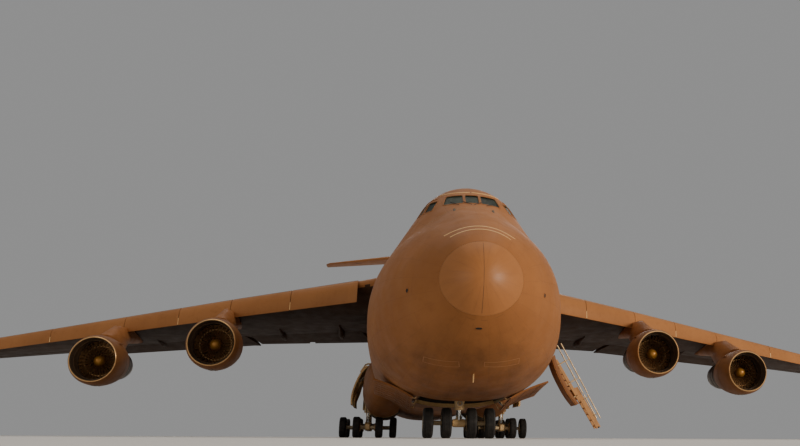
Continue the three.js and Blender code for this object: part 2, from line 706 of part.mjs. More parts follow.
const rudderLine = [finRow(10), finRow(RUDDER.top)].map((r) => V(0, r[1] + RUDDER.share * r[2], r[0]));
{
  const [p, q] = rudderLine,
    len = q.clone().sub(p).length(),
    lean = (Math.atan2(q.y - p.y, q.z - p.z) * 180) / Math.PI;
  const region = (g, fore) =>
    turned(box(-1.5, 1.5, p.y - fore, p.y + 6, p.z - g, p.z + len + g), [0, p.y, p.z], [1, 0, 0], -lean);
  place("rudder", biggest(fin.intersect(region(0, 0)).intersect(box(-2, 2, 50, 80, RUDDER.foot, 20))), GREY);
  fin = fin.subtract(region(RUN, 0.19).intersect(box(-2, 2, 50, 80, RUDDER.sill, 20)));
}
place("fin", cut(fin.subtract(outerFit), tailplane), GREY);

// ---------- engines ----------
const COWL = [
  // distance aft of the lip, radius, once round the section
  [0, 1.2],
  [0.12, 1.29],
  [0.6, 1.39],
  [1.4, 1.4],
  [3.05, 1.14],
  [3.05, 1.08],
  [1.3, 1.17],
  [0.5, 1.08],
  [0, 1.2],
];
const CORE = [
  [1.75, 0],
  [1.75, 0.42],
  [2.4, 0.78],
  [3.2, 0.92],
  [4.4, 0.9],
  [5.6, 0.68],
  [5.6, 0.5],
  [6.5, 0],
];
ENGINES.forEach(([x, y, z], i) => {
  const row = wingRow(Math.abs(x)),
    under = (share) => row[3] - row[4] * row[2] * share - 0.02 * row[2];
  // Pylon, as plan sections from the core up to a point in front of the slat: z, leading edge, trailing edge, half width.
  const top = row[3] + 0.02,
    nose = (h) => lerp(y + 1.3, row[1] - 0.38, (h - z - 1.5) / (top - z - 1.5));
  const levels = [
    [z + 0.55, y + 2.3, y + 5.2, 0.3],
    [z + 1.15, y + 1.9, y + 6.1, 0.42],
    [z + 1.5, y + 1.3, y + 6.6, 0.42],
    [z + 1.9, nose(z + 1.9), row[1] + 0.56 * row[2], 0.34],
    [row[3] - 0.55, nose(row[3] - 0.55), row[1] + 0.58 * row[2], 0.25],
    [row[3] - 0.47, row[1] - 0.22, row[1] + 0.57 * row[2], 0.23],
    [row[3] - 0.2, row[1] - 0.15, row[1] + 0.5 * row[2], 0.15],
    [top, row[1] + 0.05, row[1] + 1.5, 0.04],
  ];
  const side = loft(
    levels.map(([h, a, b, w]) =>
      [
        [0, 0.15],
        [0.08, 0.75],
        [0.3, 1],
        [0.65, 0.85],
        [1, 0.1],
        [1, -0.1],
        [0.65, -0.85],
        [0.3, -1],
        [0.08, -0.75],
        [0, -0.15],
      ].map(([s, k]) => P(x + k * w, a + (b - a) * s, h)),
    ),
  );
  const w = x > 0 ? wing : mirrored(wing);
  const pylon = cut(side, w);
  const core = turnedAboutY(CORE, x, y, z, 16);
  const strut = rod([x, y + 2.6, z - 1.14], [x, y + 2.6, z - 0.7], 0.08, 0.08, 6);
  const engine = biggest(join(core, pylon, strut));
  place("engine_" + (i + 1), engine, DARK);
  place("nacelle_" + (i + 1), cut(turnedAboutY(COWL, x, y, z, 16), engine), GREY);
  // Fan: spinner, hub and blades.
  let fan = turnedAboutY(
    [
      [1.0, 0],
      [1.08, 0.16],
      [1.25, 0.28],
      [1.7, 0.36],
      [1.7, 0],
    ],
    x,
    y,
    z,
    10,
  );
  for (let k = 0; k < FAN_BLADES; k++) {
    const a = (k / FAN_BLADES) * 360;
    const blade = loft(
      [
        [0.25, 0.12, 0.05],
        [1.1, 0.2, 0.16],
      ].map(([r, half, lead]) =>
        [
          [-half, -0.06 * (r < 0.5 ? 1 : 1.6)],
          [half, 0.03],
          [half, 0.06],
          [-half, -0.02 * (r < 0.5 ? 1 : 1.6)],
        ].map(([dy, dx]) => P(x + dx + (r < 0.5 ? 0 : 0), y + 1.45 + dy, z + r)),
      ),
    );
    fan = fan.add(turned(blade, [x, y, z], [0, 1, 0], a));
  }
  place("fan_" + (i + 1), biggest(fan), STEEL);
});

// ---------- landing gear ----------
// Wheels on one axle, at the given offsets from x.
function wheelSet(x, offsets, y) {
  const r = TYRE_R / Math.cos(Math.PI / WHEEL_SIDES),
    h = TYRE_W / 2,
    end = Math.abs(offsets[0]) + h;
  const profile = [[-end, 0]];
  offsets.forEach((o, i) => {
    profile.push([o - h, i ? AXLE_R : r], [o - h, r], [o + h, r], [o + h, AXLE_R]);
  });
  profile.splice(1, 1);
  profile.pop();
  profile.push([end, 0]);
  return turnedAboutX(profile, x, y, TYRE_R, WHEEL_SIDES);
}
const bore = (x, y) => rod([x - 1, y, TYRE_R], [x + 1, y, TYRE_R], AXLE_R + 0.012, AXLE_R + 0.012, WHEEL_SIDES);
place(
  "nose_leg",
  join(
    rod([0, NOSE_GEAR_Y, FLOOR_BOTTOM - 0.02 - FIT], [0, NOSE_GEAR_Y, 1.78], 0.26, 0.26, 12),
    rod([0, NOSE_GEAR_Y, 1.95], [0, NOSE_BAY.y1 - 0.1, 2.2], 0.09, 0.09, 8),
    box(-0.35, 0.35, NOSE_BAY.y1 - 0.2, NOSE_BAY.y1 - FIT, 2.05, FLOOR_BOTTOM - 0.02 - FIT),
  ),
  WHITE,
);
place(
  "nose_steering",
  join(
    rod([0, NOSE_GEAR_Y, 1.78 - RUN], [0, NOSE_GEAR_Y, 1.15], 0.2, 0.2, 12),
    box(-0.18, 0.18, NOSE_GEAR_Y - 0.36, NOSE_GEAR_Y, 1.2, 1.7),
    rod([0, NOSE_GEAR_Y, 1.2], [0, NOSE_GEAR_Y, 0.6], 0.1, 0.1, 12),
    rod([-0.27, NOSE_GEAR_Y, TYRE_R], [0.27, NOSE_GEAR_Y, TYRE_R], 0.17, 0.17, 12),
  ).subtract(bore(0, NOSE_GEAR_Y)),
  WHITE,
);
place("nose_wheels", wheelSet(0, NOSE_WHEELS_X, NOSE_GEAR_Y), RUBBER);
// Nose gear doors: the belly skin over the bay, swung out.
const bellyAt = (y, x) => {
  const [, w, zc, zb, , , n] = station(BODY, y);
  return zc - (zc - zb) * Math.pow(1 - Math.pow(x / w, n), 1 / n);
};
const noseHinge = [8, 11.4].map((y) => [NOSE_BAY.x + 0.1, y, bellyAt(y, NOSE_BAY.x + 0.1) - 0.06]);
const noseDoorOut = turned(
  outer
    .subtract(within(NOSE_BAY.doorThickness))
    .intersect(box(0.02, NOSE_BAY.x - 0.02, NOSE_BAY.y0 + 0.05, NOSE_BAY.y1 - 0.05, 0, 2.3)),
  noseHinge[0],
  noseHinge[1].map((v, i) => v - noseHinge[0][i]),
  -NOSE_BAY.doorSwing,
);
// The open door hangs lower at its rear end.
const noseDoor = biggest(turned(noseDoorOut, noseHinge[0], [1, 0, 0], -NOSE_BAY.doorDrop));
place("nose_gear_door_left", noseDoor, GREY);
place("nose_gear_door_right", mirrored(noseDoor), GREY);
MAIN_Y.forEach((y, i) => {
  for (const [side, s] of SIDES) {
    const x = s * MAIN_X,
      at = (i ? "rear_" : "front_") + side;
    const leg = join(
      rod([x, y, 4.3 - FIT], [x, y, 1.5], 0.24, 0.24, 10),
      rod([x, y, 1.55], [x, y, 0.6], 0.13, 0.13, 10),
      rod([x + s * 0.3, y, 1.7], [x + s * 0.3, y + 1.6, 3.3], 0.08, 0.08, 6),
      box(Math.min(x, x + s * 0.38), Math.max(x, x + s * 0.38), y - 0.12, y + 0.12, 1.58, 1.8),
      box(x - 0.17, x + 0.17, y - BOGIE_HALF - 0.16, y + BOGIE_HALF + 0.16, TYRE_R - 0.17, TYRE_R + 0.17),
    )
      .subtract(bore(x, y - BOGIE_HALF))
      .subtract(bore(x, y + BOGIE_HALF));
    place("main_leg_" + at, biggest(cut(leg, s > 0 ? pod : mirrored(pod)).subtract(outerFit)), WHITE);
    place("main_twin_wheels_" + at, wheelSet(x, TWIN_X, y - BOGIE_HALF), RUBBER);
    place("main_quad_wheels_" + at, wheelSet(x, QUAD_X, y + BOGIE_HALF), RUBBER);
  }
});

export default plane;
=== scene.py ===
import math

import bmesh
import bpy
import numpy as np
from mathutils import Matrix, Quaternion, Vector
from mathutils.bvhtree import BVHTree


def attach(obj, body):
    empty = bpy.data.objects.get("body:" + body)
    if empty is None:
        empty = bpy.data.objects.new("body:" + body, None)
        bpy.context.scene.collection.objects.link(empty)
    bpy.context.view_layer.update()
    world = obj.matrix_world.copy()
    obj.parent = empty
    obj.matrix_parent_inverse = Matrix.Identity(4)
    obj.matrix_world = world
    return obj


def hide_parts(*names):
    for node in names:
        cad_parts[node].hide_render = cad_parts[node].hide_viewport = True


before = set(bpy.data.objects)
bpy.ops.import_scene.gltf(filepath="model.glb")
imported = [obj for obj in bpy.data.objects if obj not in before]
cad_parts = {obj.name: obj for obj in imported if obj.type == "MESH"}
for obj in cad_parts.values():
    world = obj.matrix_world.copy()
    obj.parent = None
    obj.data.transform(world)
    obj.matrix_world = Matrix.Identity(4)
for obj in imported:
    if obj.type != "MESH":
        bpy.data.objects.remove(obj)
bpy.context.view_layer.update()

# ---------- driving dimensions ----------
SCALE, Y0 = 0.5, 37.77
FIT, RUN, SKIN = 0.001, 0.014, 0.16
VISOR_HINGE, VISOR_FOOT = (4.6, 8.8), (6.9, 1.3)
RADOME_EDGE = (1.44, 1.28, 5.27)  # half width, half height, height of its middle
TYRE_R, TYRE_W = 0.6225, 0.43
NOSE_GEAR_Y, NOSE_WHEELS_X = 9.2, (-1.28, -0.52, 0.52, 1.28)
MAIN_X, MAIN_Y, BOGIE_HALF = 4.1, (28.57, 34.16), 0.83
TWIN_X, QUAD_X = (-0.67, 0.67), (-1.54, -0.67, 0.67, 1.54)
DOOR = dict(y0=8.85, y1=9.85, hinge_x=3.81, hinge_z=3.42, reach=2.33, swing=150)
DOOR_MID = (DOOR["y0"] + DOOR["y1"]) / 2
LADDER = dict(slope=(0.518, -0.856), top=(4.95, 2.13), length=1.94)
ENGINES = [(-19.15, 24.45, 4.16), (-12.4, 21.3, 4.92), (12.4, 21.3, 4.92), (19.15, 24.45, 4.16)]
PANE = [(-1.13, 9.05), (-0.99, 9.57), (-0.36, 9.59), (-0.37, 9.08)]
FRONT_PANES = [PANE, [(-0.26, 9.09), (-0.26, 9.595), (0.26, 9.595), (0.26, 9.09)], [(-x, z) for x, z in PANE]]
BAY = dict(x=1.75, y0=7.75, y1=11.65, door=0.07, swing=198, drop=4)
RAMP = dict(x=2.74, hinge=(0, 46, 1.3), end_y=51.42, top_y=51.05, top_z=3.22)
PETAL = dict(x=2.72, y0=51.5, y1=59, z0=3.2, z1=6.0)
FRONT_RAMP = (6.6, 2.6)

# y, half width, height of the widest line, belly height, crown height, crown lobe radius, belly squareness
BODY = [
    [0, 0, 5.2, 5.2, 5.2, 0, 2],
    [0.5, 1.08, 5.18, 4.05, 6.38, 0.95, 2],
    [1, 1.58, 5.15, 3.5, 6.88, 1.4, 2.05],
    [2, 2.34, 5.08, 2.78, 7.5, 1.8, 2.15],
    [3.5, 3.08, 5.0, 2.12, 8.24, 2.0, 2.3],
    [5, 3.52, 4.95, 1.76, 8.96, 2.1, 2.4],
    [6, 3.72, 4.92, 1.62, 9.61, 2.16, 2.45],
    [7, 3.85, 4.9, 1.52, 10.15, 2.2, 2.5],
    [8, 3.93, 4.9, 1.45, 10.42, 2.22, 2.5],
    [9, 3.96, 4.9, 1.4, 10.5, 2.22, 2.5],
    [12, 3.98, 4.9, 1.33, 10.53, 2.22, 2.5],
    [44, 3.98, 4.9, 1.33, 10.53, 2.22, 2.5],
    [48, 3.95, 4.98, 1.55, 10.53, 2.22, 2.5],
    [52, 3.8, 5.42, 2.3, 10.5, 2.2, 2.4],
    [56, 3.48, 6.12, 3.5, 10.46, 2.1, 2.3],
    [60, 3.0, 7.0, 4.85, 10.38, 2.0, 2.2],
    [64, 2.35, 7.9, 6.12, 10.2, 1.8, 2.1],
    [67.5, 1.6, 8.5, 7.2, 9.92, 1.3, 2],
    [70.3, 0.4, 8.85, 8.42, 9.28, 0.4, 2],
]
# y, half width, half height about (3.2, 3.0)
POD = [
    [21.2, 0.05, 0.05],
    [22.2, 0.6, 0.85],
    [24.5, 1.05, 1.5],
    [27, 1.27, 1.8],
    [29, 1.32, 1.86],
    [35, 1.32, 1.86],
    [38, 1.2, 1.6],
    [41, 0.8, 1.0],
    [43.2, 0.05, 0.05],
]
POD_AT = (3.2, 3.0)
# x, leading-edge y, chord, leading-edge z, drop over the chord, thickness over the chord
WING = [
    [1.5, 20.974, 13.246, 8.82, 0.139, 0.125],
    [12.2, 26.495, 9.005, 7.754, 0.134, 0.118],
    [33.0, 37.228, 4.843, 5.474, 0.0525, 0.11],
    [33.95, 38.2, 3.2, 5.41, 0.05, 0.1],
]
# x, leading-edge y, chord, z, thickness over the chord
STAB = [[0, 66.8, 6.5, 19.42, 0.1], [10.1, 72.4, 3.08, 18.98, 0.09], [10.47, 72.95, 2.59, 18.96, 0.08]]
# z, leading-edge y, chord, thickness over the chord
FIN = [[9.6, 55.4, 11.9, 0.115], [19.0, 65.4, 6.9, 0.11]]
RUDDER = dict(foot=10.34, sill=10.2, top=18.3, share=0.7)


# ---------- numbers ----------
def lerp(a, b, t):
    return a + (b - a) * t


def row_at(table, x, column=0):
    i = 0
    while i < len(table) - 2 and x > table[i + 1][column]:
        i += 1
    t = (x - table[i][column]) / (table[i + 1][column] - table[i][column])
    return [lerp(a, b, t) for a, b in zip(table[i], table[i + 1])]


def station(table, y, root=True):
    """A row of the table at y, on a smooth monotone curve through its rows."""
    u = math.sqrt if root else (lambda v: v)
    xs = [u(r[0]) for r in table]
    t, n, i = u(y), len(table), 0
    while i < n - 2 and t > xs[i + 1]:
        i += 1
    out = [y]
    for c in range(1, len(table[0])):
        f = lambda k: table[k][c]
        d = lambda k: (f(k + 1) - f(k)) / (xs[k + 1] - xs[k])

        def m(k):
            if k == 0:
                return d(0)
            if k == n - 1:
                return d(n - 2)
            a, b = d(k - 1), d(k)
            if a * b <= 0:
                return 0.0
            h0, h1 = xs[k] - xs[k - 1], xs[k + 1] - xs[k]
            w1, w2 = 2 * h1 + h0, h1 + 2 * h0
            return (w1 + w2) / (w1 / a + w2 / b)

        h = xs[i + 1] - xs[i]
        s = (t - xs[i]) / h
        out.append(
            (2 * s**3 - 3 * s * s + 1) * f(i)
            + (s**3 - 2 * s * s + s) * h * m(i)
            + (3 * s * s - 2 * s**3) * f(i + 1)
            + (s**3 - s * s) * h * m(i + 1)
        )
    return out


LOW, HIGH = 22, 28


def body_ring(y, inset=0.0):
    _, w, zc, zb, zt, rt, n = station(BODY, y)
    w, zb, zt = w - inset, zb + inset, zt - inset
    rt = min(rt - inset, zt - zc)
    a, d = min(w, zt - zc), zc - zb
    half = []
    for k in range(LOW):
        t = k / LOW * math.pi / 2
        half.append((w * math.sin(t) ** (2 / n), zc - d * math.cos(t) ** (2 / n)))
    for k in range(HIGH + 1):
        t = k / HIGH * math.pi / 2
        c, s = math.cos(t), math.sin(t)
        h1, h2 = math.hypot(w * c, a * s), (zt - rt - zc) * s + rt
        half.append((w * w * c / h1, zc + a * a * s / h1) if h1 >= h2 else (rt * c, zt - rt + rt * s))
    half[0], half[-1] = (0.0, half[0][1]), (0.0, half[-1][1])
    return [(x, y, z) for x, z in half] + [(-x, y, z) for x, z in half[-2:0:-1]]


def pod_ring(y, inset=0.0, n=48):
    _, wx, hz = station(POD, y, False)
    out = []
    for k in range(n):
        t = k / n * 2 * math.pi
        c, s, e = math.cos(t), math.sin(t), 2 / 2.4
        out.append(
            (
                POD_AT[0] + max(0.01, wx - inset) * math.copysign(abs(c) ** e, c),
                y,
                POD_AT[1] + max(0.01, hz - inset) * math.copysign(abs(s) ** e, s),
            )
        )
    return out


def half_thickness(a, t):
    a = min(max(a, 0.0), 1.0)
    return 5 * t * (0.2969 * math.sqrt(a) - 0.126 * a - 0.3516 * a * a + 0.2843 * a**3 - 0.1015 * a**4) + 0.0015 * a


def section(t, n=26):
    out = [(0.5 * (1 + math.cos(k / n * math.pi)), 1) for k in range(n + 1)]
    out += [(0.5 * (1 - math.cos(k / n * math.pi)), -1) for k in range(1, n + 1)]
    return [(a, s * half_thickness(a, t)) for a, s in out]


def wing_point(x, share, side=0.0):
    """A point of the wing: share of the chord, side 1 on the top skin, -1 on the bottom, 0 on the middle."""
    r = row_at(WING, x)
    return (x, r[1] + share * r[2], r[3] - r[4] * r[2] * share + side * half_thickness(share, r[5]) * r[2])


# ---------- shapes, each a pair of points and faces ----------
def loft(rings, tip0=None, tip1=None, wrap=False):
    n, v, f = len(rings[0]), [], []
    for r in rings:
        v += [tuple(map(float, p)) for p in r]
    m = len(rings)
    for i in range(m if wrap else m - 1):
        j = (i + 1) % m
        for k in range(n):
            f.append((i * n + k, i * n + (k + 1) % n, j * n + (k + 1) % n, j * n + k))
    if not wrap:
        if tip0 is None:
            f.append(tuple(range(n))[::-1])
        else:
            v.append(tuple(tip0))
            f += [((k + 1) % n, k, len(v) - 1) for k in range(n)]
        base = (m - 1) * n
        if tip1 is None:
            f.append(tuple(base + k for k in range(n)))
        else:
            v.append(tuple(tip1))
            f += [(base + k, base + (k + 1) % n, len(v) - 1) for k in range(n)]
    return v, f


def lathe(profile, at, axis="y", n=32, closed=False, turn=0.0):
    """Solid of revolution: profile of [distance along the axis, radius]."""
    v, rows = [], []

    def put(a, p, q):
        x, y, z = at
        v.append({"y": (x + p, y + a, z + q), "x": (x + a, y + p, z + q), "z": (x + p, y + q, z + a)}[axis])

    for a, r in profile:
        if r < 1e-6:
            rows.append([len(v)] * n)
            put(a, 0, 0)
        else:
            rows.append(list(range(len(v), len(v) + n)))
            for k in range(n):
                t = 2 * math.pi * k / n + turn
                put(a, r * math.cos(t), r * math.sin(t))
    f = []
    pairs = list(zip(rows, rows[1:])) + ([(rows[-1], rows[0])] if closed else [])
    for a, b in pairs:
        for k in range(n):
            q = []
            for i in (a[k], a[(k + 1) % n], b[(k + 1) % n], b[k]):
                if i not in q:
                    q.append(i)
            if len(q) > 2:
                f.append(tuple(q))
    if not closed:
        for row in (rows[0], rows[-1]):
            if row[0] != row[1]:
                f.append(tuple(row))
    return v, f


def frames_along(path):
    p = [Vector(q) for q in path]
    tan = []
    for i in range(len(p)):
        a, b = p[max(i - 1, 0)], p[min(i + 1, len(p) - 1)]
        tan.append((b - a).normalized())
    up = Vector((0, 0, 1)) if abs(tan[0].z) < 0.9 else Vector((0, 1, 0))
    side = tan[0].cross(up).normalized()
    out = []
    for i, t in enumerate(tan):
        side = (side - t * side.dot(t)).normalized()
        out.append((p[i], t, side, side.cross(t)))
    return out


def tube(path, r, n=12):
    radii = r if isinstance(r, (list, tuple)) else [r] * len(path)
    rings = []
    for (p, _, a, b), q in zip(frames_along(path), radii):
        rings.append([p + q * (math.cos(2 * math.pi * k / n) * a + math.sin(2 * math.pi * k / n) * b) for k in range(n)])
    return loft(rings)


def bar(path, w, h):
    """Bar of rectangular section along a path, with small chamfers."""
    c = min(w, h) * 0.18
    pts = [
        (w / 2 - c, h / 2), (w / 2, h / 2 - c), (w / 2, -h / 2 + c), (w / 2 - c, -h / 2),
        (-w / 2 + c, -h / 2), (-w / 2, -h / 2 + c), (-w / 2, h / 2 - c), (-w / 2 + c, h / 2),
    ]
    return loft([[p + x * a + z * b for x, z in pts] for p, _, a, b in frames_along(path)])


def box(x0, x1, y0, y1, z0, z1):
    v = [(x, y, z) for x in (x0, x1) for y in (y0, y1) for z in (z0, z1)]
    return v, [(0, 1, 3, 2), (4, 6, 7, 5), (0, 4, 5, 1), (2, 3, 7, 6), (0, 2, 6, 4), (1, 5, 7, 3)]


def block(x0, x1, y0, y1, z0, z1, c=0.02):
    """Box with chamfered edges."""
    bm = bmesh.new()
    v, f = box(x0, x1, y0, y1, z0, z1)
    vs = [bm.verts.new(p) for p in v]
    for q in f:
        bm.faces.new([vs[i] for i in q])
    c = min(c, 0.3 * min(x1 - x0, y1 - y0, z1 - z0))
    bmesh.ops.bevel(bm, geom=bm.edges[:], offset=c, segments=2, profile=0.7, affect="EDGES")
    bm.verts.index_update()
    out = [tuple(p.co) for p in bm.verts], [tuple(p.index for p in q.verts) for q in bm.faces]
    bm.free()
    return out


def side_plate(outline, x0, x1):
    """Plate whose side view has the outline [y, z], from x0 to x1."""
    return loft([[(x0, y, z) for y, z in outline], [(x1, y, z) for y, z in outline]])


def cross_plate(outline, y0, y1):
    """Plate whose front view has the outline [x, z], from y0 to y1."""
    return loft([[(x, y0, z) for x, z in outline], [(x, y1, z) for x, z in outline]])


def ball(at, r, n=16):
    return lathe([(-r * math.cos(math.pi * k / (n // 2)), r * math.sin(math.pi * k / (n // 2))) for k in range(n // 2 + 1)], at, "z", n)


def change(part, matrix):
    m = Matrix(matrix)
    return [tuple(m @ Vector(p)) for p in part[0]], part[1]


def mirror(part):
    return [(-x, y, z) for x, y, z in part[0]], [tuple(reversed(q)) for q in part[1]]


def shift(part, x, y, z):
    return [(a + x, b + y, c + z) for a, b, c in part[0]], part[1]


def turn(part, point, axis, degrees):
    c = Matrix.Translation(Vector(point))
    return change(part, c @ Matrix.Rotation(math.radians(degrees), 4, Vector(axis)) @ c.inverted())


# ---------- cutting ----------
def to_object(part, name="tool"):
    me = bpy.data.meshes.new(name)
    me.from_pydata([tuple(p) for p in part[0]], [], [tuple(q) for q in part[1]])
    bm = bmesh.new()
    bm.from_mesh(me)
    bmesh.ops.remove_doubles(bm, verts=bm.verts[:], dist=1e-6)
    bmesh.ops.recalc_face_normals(bm, faces=bm.faces[:])
    bm.to_mesh(me)
    bm.free()
    ob = bpy.data.objects.new(name, me)
    bpy.context.scene.collection.objects.link(ob)
    return ob


def drop(ob):
    me = ob.data
    bpy.data.objects.remove(ob)
    bpy.data.meshes.remove(me)


def boolean(a, b, how):
    oa, ob = to_object(a), to_object(b)
    out = None
    for solver in ("MANIFOLD", "EXACT"):
        m = oa.modifiers.new("cut", "BOOLEAN")
        m.operation, m.object, m.solver = how, ob, solver
        dg = bpy.context.evaluated_depsgraph_get()
        dg.update()
        me = bpy.data.meshes.new_from_object(oa.evaluated_get(dg))
        out = [tuple(v.co) for v in me.vertices], [tuple(p.vertices) for p in me.polygons]
        bpy.data.meshes.remove(me)
        oa.modifiers.clear()
        if out[1] and (how == "INTERSECT" or len(out[1]) != len(a[1]) or solver == "EXACT"):
            break
    drop(oa)
    drop(ob)
    return out


def minus(a, *tools):
    for t in tools:
        a = boolean(a, t, "DIFFERENCE")
    return a


def meet(a, b):
    return boolean(a, b, "INTERSECT")


def largest(part):
    """The connected bit with the most points."""
    v, f = part
    group = list(range(len(v)))

    def find(i):
        while group[i] != i:
            group[i] = group[group[i]]
            i = group[i]
        return i

    for q in f:
        a = find(q[0])
        for i in q[1:]:
            group[find(i)] = a
    count = {}
    for i in range(len(v)):
        r = find(i)
        count[r] = count.get(r, 0) + 1
    best = max(count, key=lambda r: (count[r], -r))
    keep = {i: n for n, i in enumerate(i for i in range(len(v)) if find(i) == best)}
    return [v[i] for i in keep], [tuple(keep[i] for i in q) for q in f if q[0] in keep]


# ---------- pieces ----------
MATERIALS = {}


def piece(name, parts, body, replaces=(), smooth=35, bevel=0.0, repaint=None):
    """One shown object from [(shape, material name)], in real metres, riding on a body."""
    verts, faces, index, names = [], [], [], []
    for shape, mat in parts:
        if mat not in names:
            names.append(mat)
        n = len(verts)
        verts += shape[0]
        faces += [tuple(n + i for i in q) for q in shape[1]]
        index += [names.index(mat)] * len(shape[1])
    me = bpy.data.meshes.new(name)
    co = [(SCALE * x, SCALE * (y - Y0), SCALE * z) for x, y, z in verts]
    me.from_pydata(co, [], faces)
    for m in names:
        me.materials.append(MATERIALS[m])
    me.polygons.foreach_set("material_index", index)
    bm = bmesh.new()
    bm.from_mesh(me)
    bmesh.ops.remove_doubles(bm, verts=bm.verts[:], dist=2e-6)
    bmesh.ops.dissolve_degenerate(bm, edges=bm.edges[:], dist=1e-6)
    bmesh.ops.recalc_face_normals(bm, faces=bm.faces[:])
    if bevel:
        sharp = [e for e in bm.edges if len(e.link_faces) == 2 and e.calc_face_angle(0) > math.radians(50)]
        bmesh.ops.bevel(bm, geom=sharp, offset=bevel * SCALE, segments=2, profile=0.7, affect="EDGES", clamp_overlap=True)
    if repaint:
        for q in bm.faces:
            c, nrm = q.calc_center_median(), q.normal
            new = repaint((c.x / SCALE, c.y / SCALE + Y0, c.z / SCALE), nrm)
            if new:
                if new not in names:
                    names.append(new)
                    me.materials.append(MATERIALS[new])
                q.material_index = names.index(new)
    bm.to_mesh(me)
    bm.free()
    me.polygons.foreach_set("use_smooth", [True] * len(me.polygons))
    me.set_sharp_from_angle(angle=math.radians(smooth))
    ob = bpy.data.objects.new(name, me)
    bpy.context.scene.collection.objects.link(ob)
    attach(ob, body)
    if replaces:
        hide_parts(*replaces)
    return ob


# ---------- materials ----------
def srgb(r, g, b):
    f = lambda c: (c / 255) / 12.92 if c / 255 <= 0.04045 else ((c / 255 + 0.055) / 1.055) ** 2.4
    return (f(r), f(g), f(b), 1.0)


class Paint:
    """A node material. Positions are the object's own, so they stay on the piece as it moves."""

    def __init__(self, name, metallic=0.0, coat=0.0, ior=1.45):
        self.mat = bpy.data.materials.new(name)
        self.mat.use_nodes = True
        self.t = self.mat.node_tree
        self.t.nodes.clear()
        out = self.t.nodes.new("ShaderNodeOutputMaterial")
        self.b = self.t.nodes.new("ShaderNodeBsdfPrincipled")
        self.t.links.new(self.b.outputs["BSDF"], out.inputs["Surface"])
        self.b.inputs["Metallic"].default_value = metallic
        self.b.inputs["Coat Weight"].default_value = coat
        self.b.inputs["IOR"].default_value = ior
        self.at = self.t.nodes.new("ShaderNodeTexCoord").outputs["Object"]
        self.x, self.y, self.z = self.split(self.at)
        MATERIALS[name] = self.mat

    def put(self, node, key, value):
        s = node.inputs[key]
        if isinstance(value, bpy.types.NodeSocket):
            self.t.links.new(value, s)
        elif value is not None:
            s.default_value = value

    def split(self, v):
        n = self.t.nodes.new("ShaderNodeSeparateXYZ")
        self.put(n, 0, v)
        return n.outputs[0], n.outputs[1], n.outputs[2]

    def vec(self, x, y, z):
        n = self.t.nodes.new("ShaderNodeCombineXYZ")
        for i, v in enumerate((x, y, z)):
            self.put(n, i, v)
        return n.outputs[0]

    def m(self, op, a, b=None, c=None, clamp=False):
        n = self.t.nodes.new("ShaderNodeMath")
        n.operation, n.use_clamp = op, clamp
        for i, v in enumerate((a, b, c)):
            self.put(n, i, v)
        return n.outputs[0]

    def add(self, a, b):
        return self.m("ADD", a, b)

    def mul(self, a, b):
        return self.m("MULTIPLY", a, b)

    def noise(self, v, scale, detail=4.0, rough=0.55, warp=0.0):
        n = self.t.nodes.new("ShaderNodeTexNoise")
        self.put(n, "Vector", v)
        self.put(n, "Scale", scale)
        self.put(n, "Detail", detail)
        self.put(n, "Roughness", rough)
        self.put(n, "Distortion", warp)
        return n.outputs["Fac"]

    def span(self, v, a, b, lo=0.0, hi=1.0, smooth=False):
        n = self.t.nodes.new("ShaderNodeMapRange")
        n.interpolation_type = "SMOOTHSTEP" if smooth else "LINEAR"
        n.clamp = True
        for k, w in zip(("Value", "From Min", "From Max", "To Min", "To Max"), (v, a, b, lo, hi)):
            self.put(n, k, w)
        return n.outputs[0]

    def mix(self, f, a, b, how="MIX"):
        n = self.t.nodes.new("ShaderNodeMix")
        n.data_type, n.blend_type = "RGBA", how
        self.put(n, 0, f)
        self.put(n, 6, a)
        self.put(n, 7, b)
        return n.outputs[2]

    def line(self, v, at, half):
        """1 within half of at, 0 away from it."""
        return self.span(self.m("ABSOLUTE", self.m("SUBTRACT", v, at)), half, half * 1.6, 1.0, 0.0)

    def grid(self, u, v, width, height, gap, shift_rows=0.5):
        """(joint mask, a shade for each panel) of a running panel layout."""
        n = self.t.nodes.new("ShaderNodeTexBrick")
        n.offset, n.squash = shift_rows, 1.0
        self.put(n, "Vector", self.vec(u, v, 0.0))
        self.put(n, "Color1", (0, 0, 0, 1))
        self.put(n, "Color2", (1, 1, 1, 1))
        self.put(n, "Mortar", (0.5, 0.5, 0.5, 1))
        self.put(n, "Scale", 1.0)
        self.put(n, "Mortar Size", gap)
        self.put(n, "Mortar Smooth", 0.2)
        self.put(n, "Brick Width", width)
        self.put(n, "Row Height", height)
        return n.outputs["Fac"], n.outputs["Color"]

    def bump(self, height, strength, distance):
        n = self.t.nodes.new("ShaderNodeBump")
        self.put(n, "Strength", strength)
        self.put(n, "Distance", distance)
        self.put(n, "Height", height)
        self.t.links.new(n.outputs[0], self.b.inputs["Normal"])

    def done(self, color, rough):
        self.put(self.b, "Base Color", color)
        self.put(self.b, "Roughness", rough)
        return self.mat


# The tans are painted lamplight: the orange-brown of warm lamps, laid over paint that is grey.
LAMPLIT_TAN, LAMPLIT_TAN_LIGHT, LAMPLIT_TAN_DARK = srgb(154, 99, 54), srgb(171, 114, 66), srgb(117, 72, 38)


